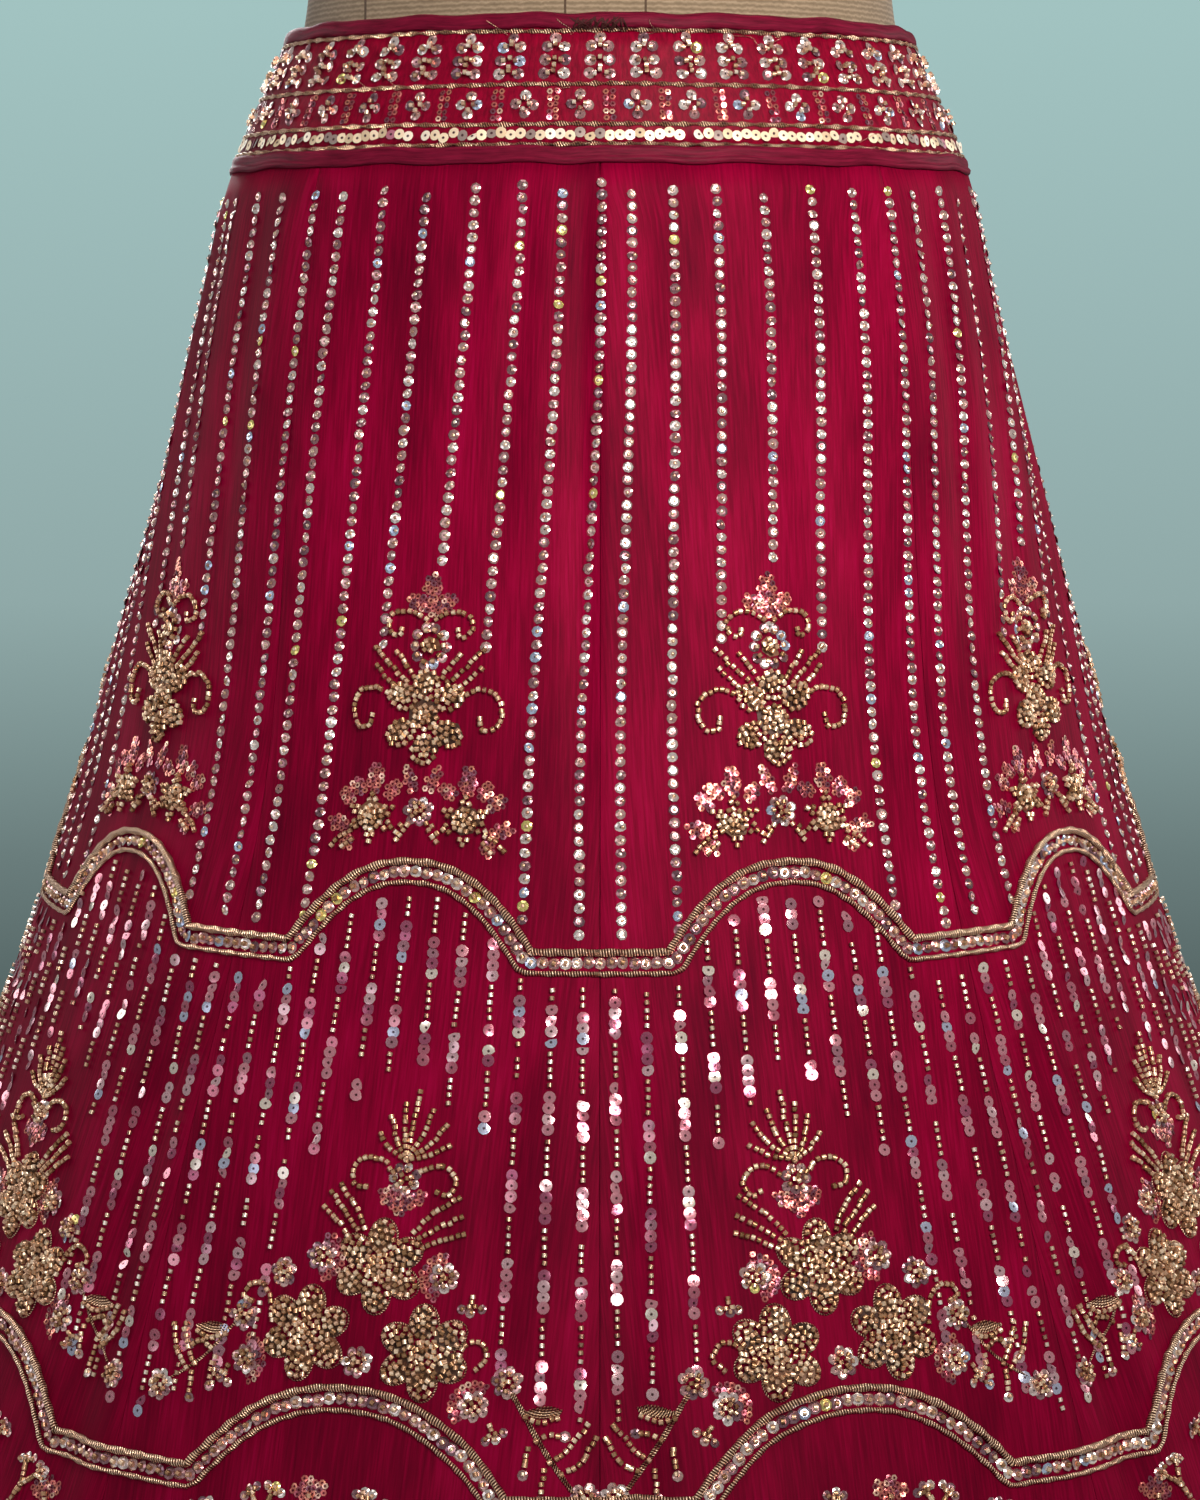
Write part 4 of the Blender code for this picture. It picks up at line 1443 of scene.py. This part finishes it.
def band_bar():
    """Two columns of five tiny sequins."""
    x, y = np.meshgrid([-1.3, 1.3], [-5.4, -2.7, 0.0, 2.7, 5.4])
    return [part("pink", x.ravel(), y.ravel(), 0.0, 0.15)]


TREE_PITCH, FLOWER_PITCH, GOLD_PITCH = 18.5, 23.5, 4.1
TREE_HEIGHT, FLOWER_HEIGHT, GOLD_HEIGHT = 1.020, 1.003, 0.990
FLOWER_LEVEL, GOLD_LEVEL, GOLD_MISSING = 38.0, 50.3, 0.07
FLOWER_START, BAR_START = -8.0, 3.75
flowers = round_waist(FLOWER_HEIGHT, FLOWER_PITCH, FLOWER_START)
bars = round_waist(FLOWER_HEIGHT, FLOWER_PITCH, BAR_START)
band_work = [
    on_band(band_tree(), round_waist(TREE_HEIGHT, TREE_PITCH), 0.0, 1),
    on_band(band_flower(), flowers, FLOWER_LEVEL, 2),
    on_band(band_bar(), bars, FLOWER_LEVEL, 3),
]
gold_turns = round_waist(GOLD_HEIGHT, GOLD_PITCH)
random = np.random.default_rng(4)
gold_turns = gold_turns[random.random(len(gold_turns)) > GOLD_MISSING]
gold_height = EDGE_TOP + (random.normal(0.0, 0.55, len(gold_turns)) - GOLD_LEVEL) * MM
gold_lift = 0.15 + 0.35 * (np.arange(len(gold_turns)) % 2)
band_work.append({"gold": [rows_of(gold_turns, gold_height, 0.0, gold_lift, 0.94)]})
for kind in ("cup", "seed", "pink", "gold"):
    found = [rows for work in band_work for rows in work.get(kind, [])]
    sewn(f"band_{kind}", kind, found, 81, 0.14)

# %% Gilt cords of the band, and a few loose ends
CORD_LEVELS = (7.4, 29.8, 46.0, 54.6)
CORD_STEPS, WAVER_STEPS, PLY_APART = 440, 15, 0.5
LOOSE_ENDS = 9
cords = []
random = np.random.default_rng(5)
turn = waist_turns(CORD_STEPS)
for level in CORD_LEVELS:
    waver = random.normal(0.0, 0.7, CORD_STEPS + WAVER_STEPS)
    waver = np.convolve(waver, np.ones(WAVER_STEPS) / WAVER_STEPS, "valid")
    height = EDGE_TOP - (level + waver) * MM
    for side in (-PLY_APART, PLY_APART):
        slide = side * 0.7 * np.sin(np.arange(CORD_STEPS + 1) * 2.1)
        cords.append(cord(turn, height + (slide + side * 0.5) * MM, 0.60, sides=4))
for _ in range(LOOSE_ENDS):
    start, level = random.uniform(-0.9, 0.9), random.choice([9.0, 31.0, 48.0])
    t = np.linspace(0.0, 1.0, 14)
    reach, fall = random.uniform(-16, 16), random.uniform(-6, 9)
    x = reach * t + 3.0 * np.sin(t * random.uniform(2, 6))
    turn = start + turn_for(np.array(start), np.array(1.01), x * MM)
    cords.append(cord(turn, EDGE_TOP - (level + fall * t**2) * MM, 0.13, sides=4, lift=2.2 * t))
cords_piece("band_zari", cords, ZARI)

# %% [markdown]
# ### A darned tuck at the centre front
#
# The top binding has a small pinch there, held by a few crossing stitches of dark thread.

# %% Dark stitches over the binding
DARN = satin("dark_darning_thread", "#262a16", "#4a0e24", 900.0, 900.0)
DARN_STITCHES, DARN_HALF, DARN_HEIGHT = 22, 9.5, 1.037
stitches = []
random = np.random.default_rng(6)
for i in range(DARN_STITCHES):
    across = DARN_HALF * (2 * i / (DARN_STITCHES - 1) - 1) + random.uniform(-0.8, 0.8)
    lean = random.uniform(-2.6, 2.6)
    t = np.linspace(0.0, 1.0, 6)
    height = EDGE_TOP - (1.6 + random.uniform(0.0, 1.2) + 5.2 * t) * MM
    width = (across + 3.0 * lean * (t - 0.5)) * MM
    turn = turn_for(np.array(0.0), np.array(DARN_HEIGHT), width)
    bulge = 1.75 * np.sin(math.pi * (0.12 + 0.76 * t)) ** 0.6
    stitches.append(cord(turn, height, 0.40, sides=4, lift=bulge - 0.2))
cords_piece("darned_tuck", stitches, DARN)

# %% [markdown]
# ## The hem and the closure
#
# The hem is turned up and caught with one line of stitches. At the centre back a concealed zip
# sits behind the slit, and only its small pull shows below the binding.

# %% Hem stitches, zip tape and pull
HEM_STEPS, HEM_TURNED_UP = 1200, 0.015
HEM_THREAD = satin("crimson_hem_thread", "#6c0420", "#b01c44", 900.0, 900.0)
hem_turn = round_angles(HEM_STEPS)
hem_height = np.full_like(hem_turn, HEM + HEM_TURNED_UP)
hem_stitch = 0.35 * np.sin(np.arange(HEM_STEPS) * math.pi / 2) - 0.2
hem_cord = cord(hem_turn, hem_height, 0.40, sides=4, closed=True, lift=hem_stitch)
cords_piece("hem_stitches", [hem_cord], HEM_THREAD)

TAPE_WIDTH, TAPE_TOP, TAPE_BOTTOM, TAPE_IN, TAPE_WALL = 0.0218, 1.0336, 0.8602, 0.0047, 0.0008
PULL_WIDTH, PULL_LENGTH, PULL_OUT, PULL_BOW, PULL_WALL = 0.0048, 0.0156, 0.0022, 0.0006, 0.0012
PULL_TOP = WAIST_TOP - 0.0068


def back_patch(name, width, low, high, out, bow, columns, rows, material, node):
    """A small patch behind or before the slit: columns across, rows up, bowed out."""
    share = np.linspace(-0.5, 0.5, columns)
    height = np.linspace(low, high, rows)[:, None]
    turn = math.pi + turn_for(np.array(math.pi), height, share * width)
    turn, height, share = np.broadcast_arrays(turn, height, share)
    points = off_skirt(turn, height, out + bow * np.cos(share * math.pi))
    uv = np.stack([share * width, height], axis=-1)
    return mesh_piece(name, points, grid_faces(rows, columns), material, node, uv)


ZIP_TAPE_CLOTH = satin("maroon_zip_tape", "#3c0414", "#6e1230", 900.0, 700.0)
tape = back_patch(
    "zip_tape_woven", TAPE_WIDTH, TAPE_BOTTOM, TAPE_TOP, -TAPE_IN, 0.0, 9, 40, ZIP_TAPE_CLOTH,
    "zip_tape",
)
thicken(tape, TAPE_WALL)
brass, _ = start_material(
    "brass_zip_pull", Metallic=1.0, Roughness=0.32, Base_Color=linear("#b8935a")
)
pull = back_patch(
    "zip_pull_drop", PULL_WIDTH, PULL_TOP - PULL_LENGTH, PULL_TOP, PULL_OUT, PULL_BOW, 7, 12,
    brass, "zip_pull",
)
thicken(pull, PULL_WALL, "Metal")
soft_edge = pull.modifiers.new("Edge", "BEVEL")
soft_edge.width, soft_edge.segments, soft_edge.limit_method = 0.0003, 2, "ANGLE"

# %% [markdown]
# ## The dress form and its stand
#
# The skirt rests on a limbless form covered in ribbed linen. Its body is a loft through oval
# sections, and the cubic of the motifs' strings makes it smooth between them. The neck cap, the
# collar, the pole and the base are turned shapes.

# %% Body of the form
# Each row: height, half width, half depth, set forward.
FORM_OVALS = [
    (0.800, 0.1480, 0.1090, 0.0), (0.830, 0.1600, 0.1180, 0.0), (0.880, 0.1640, 0.1210, 0.0),
    (0.940, 0.1570, 0.1160, 0.0), (1.000, 0.1430, 0.1060, 0.0), (1.037, 0.1328, 0.1010, 0.0),
    (1.060, 0.1290, 0.0980, 0.0), (1.100, 0.1240, 0.0930, 0.002), (1.160, 0.1290, 0.0960, 0.005),
    (1.230, 0.1420, 0.1060, 0.009), (1.300, 0.1530, 0.1130, 0.010),
    (1.360, 0.1620, 0.1060, 0.005), (1.400, 0.1640, 0.0930, 0.0),
    (1.430, 0.1420, 0.0780, -0.004), (1.448, 0.1020, 0.0660, -0.006),
    (1.462, 0.0680, 0.0580, -0.006), (1.480, 0.0560, 0.0560, -0.006),
    (1.520, 0.0540, 0.0540, -0.006),
]
SIDES = 64


def ringed_piece(name, x, y, z, material, node, smooth):
    """Rings of points from the bottom up, joined by triangles and closed by a middle point at
    each end."""
    rows, columns = x.shape
    points = np.stack([x, y, np.broadcast_to(z, x.shape)], -1).reshape(-1, 3)
    middles = [points[:columns].mean(axis=0), points[-columns:].mean(axis=0)]
    j, after = np.arange(columns), (np.arange(columns) + 1) % columns
    last, count = (rows - 1) * columns, len(points)
    low_end = np.stack([after, j, np.full(columns, count)], 1)
    high_end = np.stack([last + j, last + after, np.full(columns, count + 1)], 1)
    quads = grid_faces(rows, columns, around=True)
    faces = np.concatenate([quads[:, [0, 1, 2]], quads[:, [0, 2, 3]], low_end, high_end])
    points = np.concatenate([points, middles])
    mesh_piece(name, points, faces, material, node, smooth=smooth)


# %% Loft the body
rings = curve_through(FORM_OVALS, 5)
turn = round_angles(SIDES)
x, y = rings[:, 1:2] * np.sin(turn), -rings[:, 2:3] * np.cos(turn) - rings[:, 3:4]
ringed_piece("linen_dress_form", x, y, rings[:, :1], LINEN, "form_torso", 50)


# %% Turned pieces
def coated(name, dark, light, grain, stretch=(1.0, 1.0, 1.0), **sockets):
    """A plain hard surface whose colour wavers with a fine grain."""
    material, shader = start_material(name, **sockets)
    place = add_node(material, "TexCoord", "Object")
    grain = {"Scale": grain, "Detail": 4.0, "Roughness": 0.6}
    noise = pattern(material, "TexNoise", place, stretch, grain)
    stops = [(0.3, dark), (0.7, light)]
    colour = add_node(material, "ValToRGB", "Color", {"Fac": noise}, stops=stops)
    return dress(material, shader, colour, noise, 0.15, 0.0004)


WALNUT = coated("dark_walnut", "#2a150a", "#5a321a", 9.0, (4.0, 30.0, 4.0), Roughness=0.35)
STEEL = coated("black_steel", "#141416", "#26262a", 300.0, Metallic=0.7, Roughness=0.38)
IRON = coated("cast_iron_enamel", "#121214", "#232327", 260.0, Roughness=0.45)

# %% Cap, collar, pole and base, as (radius, height) points from the bottom up
CAP_PROFILE = [
    (0.0495, 1.5204), (0.0500, 1.5215), (0.0500, 1.5268), (0.0490, 1.5292), (0.0440, 1.5318),
    (0.0300, 1.5345), (0.0215, 1.5372), (0.0150, 1.5420), (0.0108, 1.5480), (0.0112, 1.5540),
    (0.0130, 1.5600), (0.0122, 1.5650), (0.0080, 1.5685), (0.0030, 1.5699),
]
COLLAR_PROFILE = [
    (0.0212, 0.7698), (0.0220, 0.7706), (0.0220, 0.7875), (0.0240, 0.7890), (0.0332, 0.7932),
    (0.0340, 0.7945), (0.0340, 0.7990), (0.0333, 0.7996),
]
POLE_PROFILE = [(0.0155, 0.0344), (0.0160, 0.0350), (0.0160, 0.7686), (0.0155, 0.7693)]
BASE_PROFILE = [
    (0.1690, 0.0000), (0.1700, 0.0010), (0.1700, 0.0060), (0.1690, 0.0082), (0.1640, 0.0100),
    (0.1400, 0.0125), (0.0935, 0.0160), (0.0500, 0.0185), (0.0330, 0.0197), (0.0302, 0.0210),
    (0.0296, 0.0250), (0.0280, 0.0282), (0.0250, 0.0325), (0.0220, 0.0340), (0.0170, 0.0340),
]
for name, profile, material, slot, node, back, sides, smooth in (
    ("turned_neck_cap", CAP_PROFILE, WALNUT, "dark_wood", "neck_cap", 0.006, SIDES, 60),
    ("steel_collar", COLLAR_PROFILE, STEEL, "black_steel", "form_collar", 0.0, SIDES, 32),
    ("steel_pole", POLE_PROFILE, STEEL, "black_steel", "stand_pole", 0.0, SIDES, 32),
    ("iron_base", BASE_PROFILE, IRON, "cast_iron", "stand_base", 0.0, 96, 32),
):
    radius, height = np.array(profile).T[..., None]
    turn = round_angles(sides)
    x, y = radius * np.cos(turn), radius * np.sin(turn) + back
    ringed_piece(name, x, y, height, material, node, smooth)
print("form and stand made")

# %% [markdown]
# ## Camera and light
#
# A long lens from waist height, tilted a little down. A soft key hangs above and to the right of
# the camera, with a narrow beam, so the skirt is brightest near the waist. A weaker lamp stands
# to the left, a small one near the lens gives the foil its sparks, and the rest light the sides,
# the back and the floor.

# %% Camera
CAMERA_BACK, CAMERA_HEIGHT, CAMERA_DOWN = 1.500, 0.9155, math.radians(7.47)
camera_data = bpy.data.cameras.new("camera")
camera_data.lens, camera_data.sensor_width = 79.2, 36.0
camera_data.clip_start, camera_data.clip_end = 0.05, 60.0
camera = bpy.data.objects.new("camera", camera_data)
camera.location = (0.0, -CAMERA_BACK, CAMERA_HEIGHT)
camera.rotation_euler = (math.pi / 2 - CAMERA_DOWN, 0.0, 0.0)
bpy.context.scene.collection.objects.link(camera)
bpy.context.scene.camera = camera
bpy.context.scene.view_settings.view_transform = "Standard"


# %% Lamps
def lamp(name, place, towards, size, energy, colour="#ffffff", spread=180.0):
    """An area lamp turned from its place towards a point, its beam spread over some degrees."""
    data = bpy.data.lights.new(name, "AREA")
    data.size, data.energy, data.spread = size, energy, math.radians(spread)
    data.color = linear(colour)[:3]
    made = bpy.data.objects.new(name, data)
    made.location = place
    x, y, z = np.array(towards) - np.array(place)
    upward = math.pi / 2 + math.atan2(z, math.hypot(x, y))
    made.rotation_euler = (upward, 0.0, math.atan2(-x, y))
    bpy.context.scene.collection.objects.link(made)


lamp("soft_key", (0.46, -1.15, 1.48), (0.14, -0.15, 1.0), 0.46, 4.3, "#fff6f0", spread=75.0)
lamp("soft_fill", (-1.9, -1.9, 1.3), (0.0, 0.0, 0.80), 1.4, 7.5, "#f4f2ff")
lamp("spark", (0.16, -2.1, 1.32), (0.05, 0.0, 0.75), 0.10, 6)
lamp("soft_top", (0.0, 0.5, 3.2), (0.0, 0.1, 0.9), 1.8, 26)
lamp("soft_back", (-0.5, 2.6, 1.6), (0.0, 0.0, 0.7), 1.4, 50)
for side in (-1, 1):
    lamp("soft_side", (side * 2.4, 1.1, 1.5), (0.0, 0.1, 0.65), 1.2, 17)


# %% Backdrop and floor
AMBIENT = (0.22, 0.218, 0.224, 1.0)
BACKDROP_LOW, BACKDROP_HIGH = -0.20, 0.09


def backdrop():
    """Pale teal above, fading to a dark grey-teal low down; plain light for all but the lens."""
    world = bpy.context.scene.world = bpy.data.worlds.new("studio")
    world.use_nodes = True
    place = add_node(world, "TexCoord", "Generated")
    upward = add_node(world, "SeparateXYZ", "Z", {"Vector": place})
    limits = {"From Min": BACKDROP_LOW, "From Max": BACKDROP_HIGH}
    level = add_node(world, "MapRange", "Result", {"Value": upward}, limits)
    stops = [(0.0, "#566665"), (0.14, "#6a7d7c"), (0.40, "#90a9a8"), (0.70, "#9ab7b6")]
    stops.append((1.0, "#a2c3c1"))
    shade = add_node(world, "ValToRGB", "Color", {"Fac": level}, stops=stops)
    layers = {"B": shade, "Factor": add_node(world, "LightPath", "Is Camera Ray")}
    result = add_node(world, "Mix", "Result", layers, {"A": AMBIENT}, data_type="RGBA")
    world.node_tree.links.new(result, world.node_tree.nodes["Background"].inputs["Color"])


backdrop()
FLOOR_RADIUS, FLOOR_SIDES, FLOOR_UNDER = 2.0, 96, 0.0005
floor_mesh = bpy.data.meshes.new("floor")
floor_rim = [(*round_about(0, 0, a, FLOOR_RADIUS), -FLOOR_UNDER) for a in round_angles(FLOOR_SIDES)]
floor_mesh.from_pydata(floor_rim, [], [tuple(range(FLOOR_SIDES))])
floor_piece = bpy.data.objects.new("floor", floor_mesh)
bpy.context.scene.collection.objects.link(floor_piece)
floor_mesh.materials.append(coated("pale_floor", "#d3dcdb", "#dbe3e2", 3.0, Roughness=0.6))
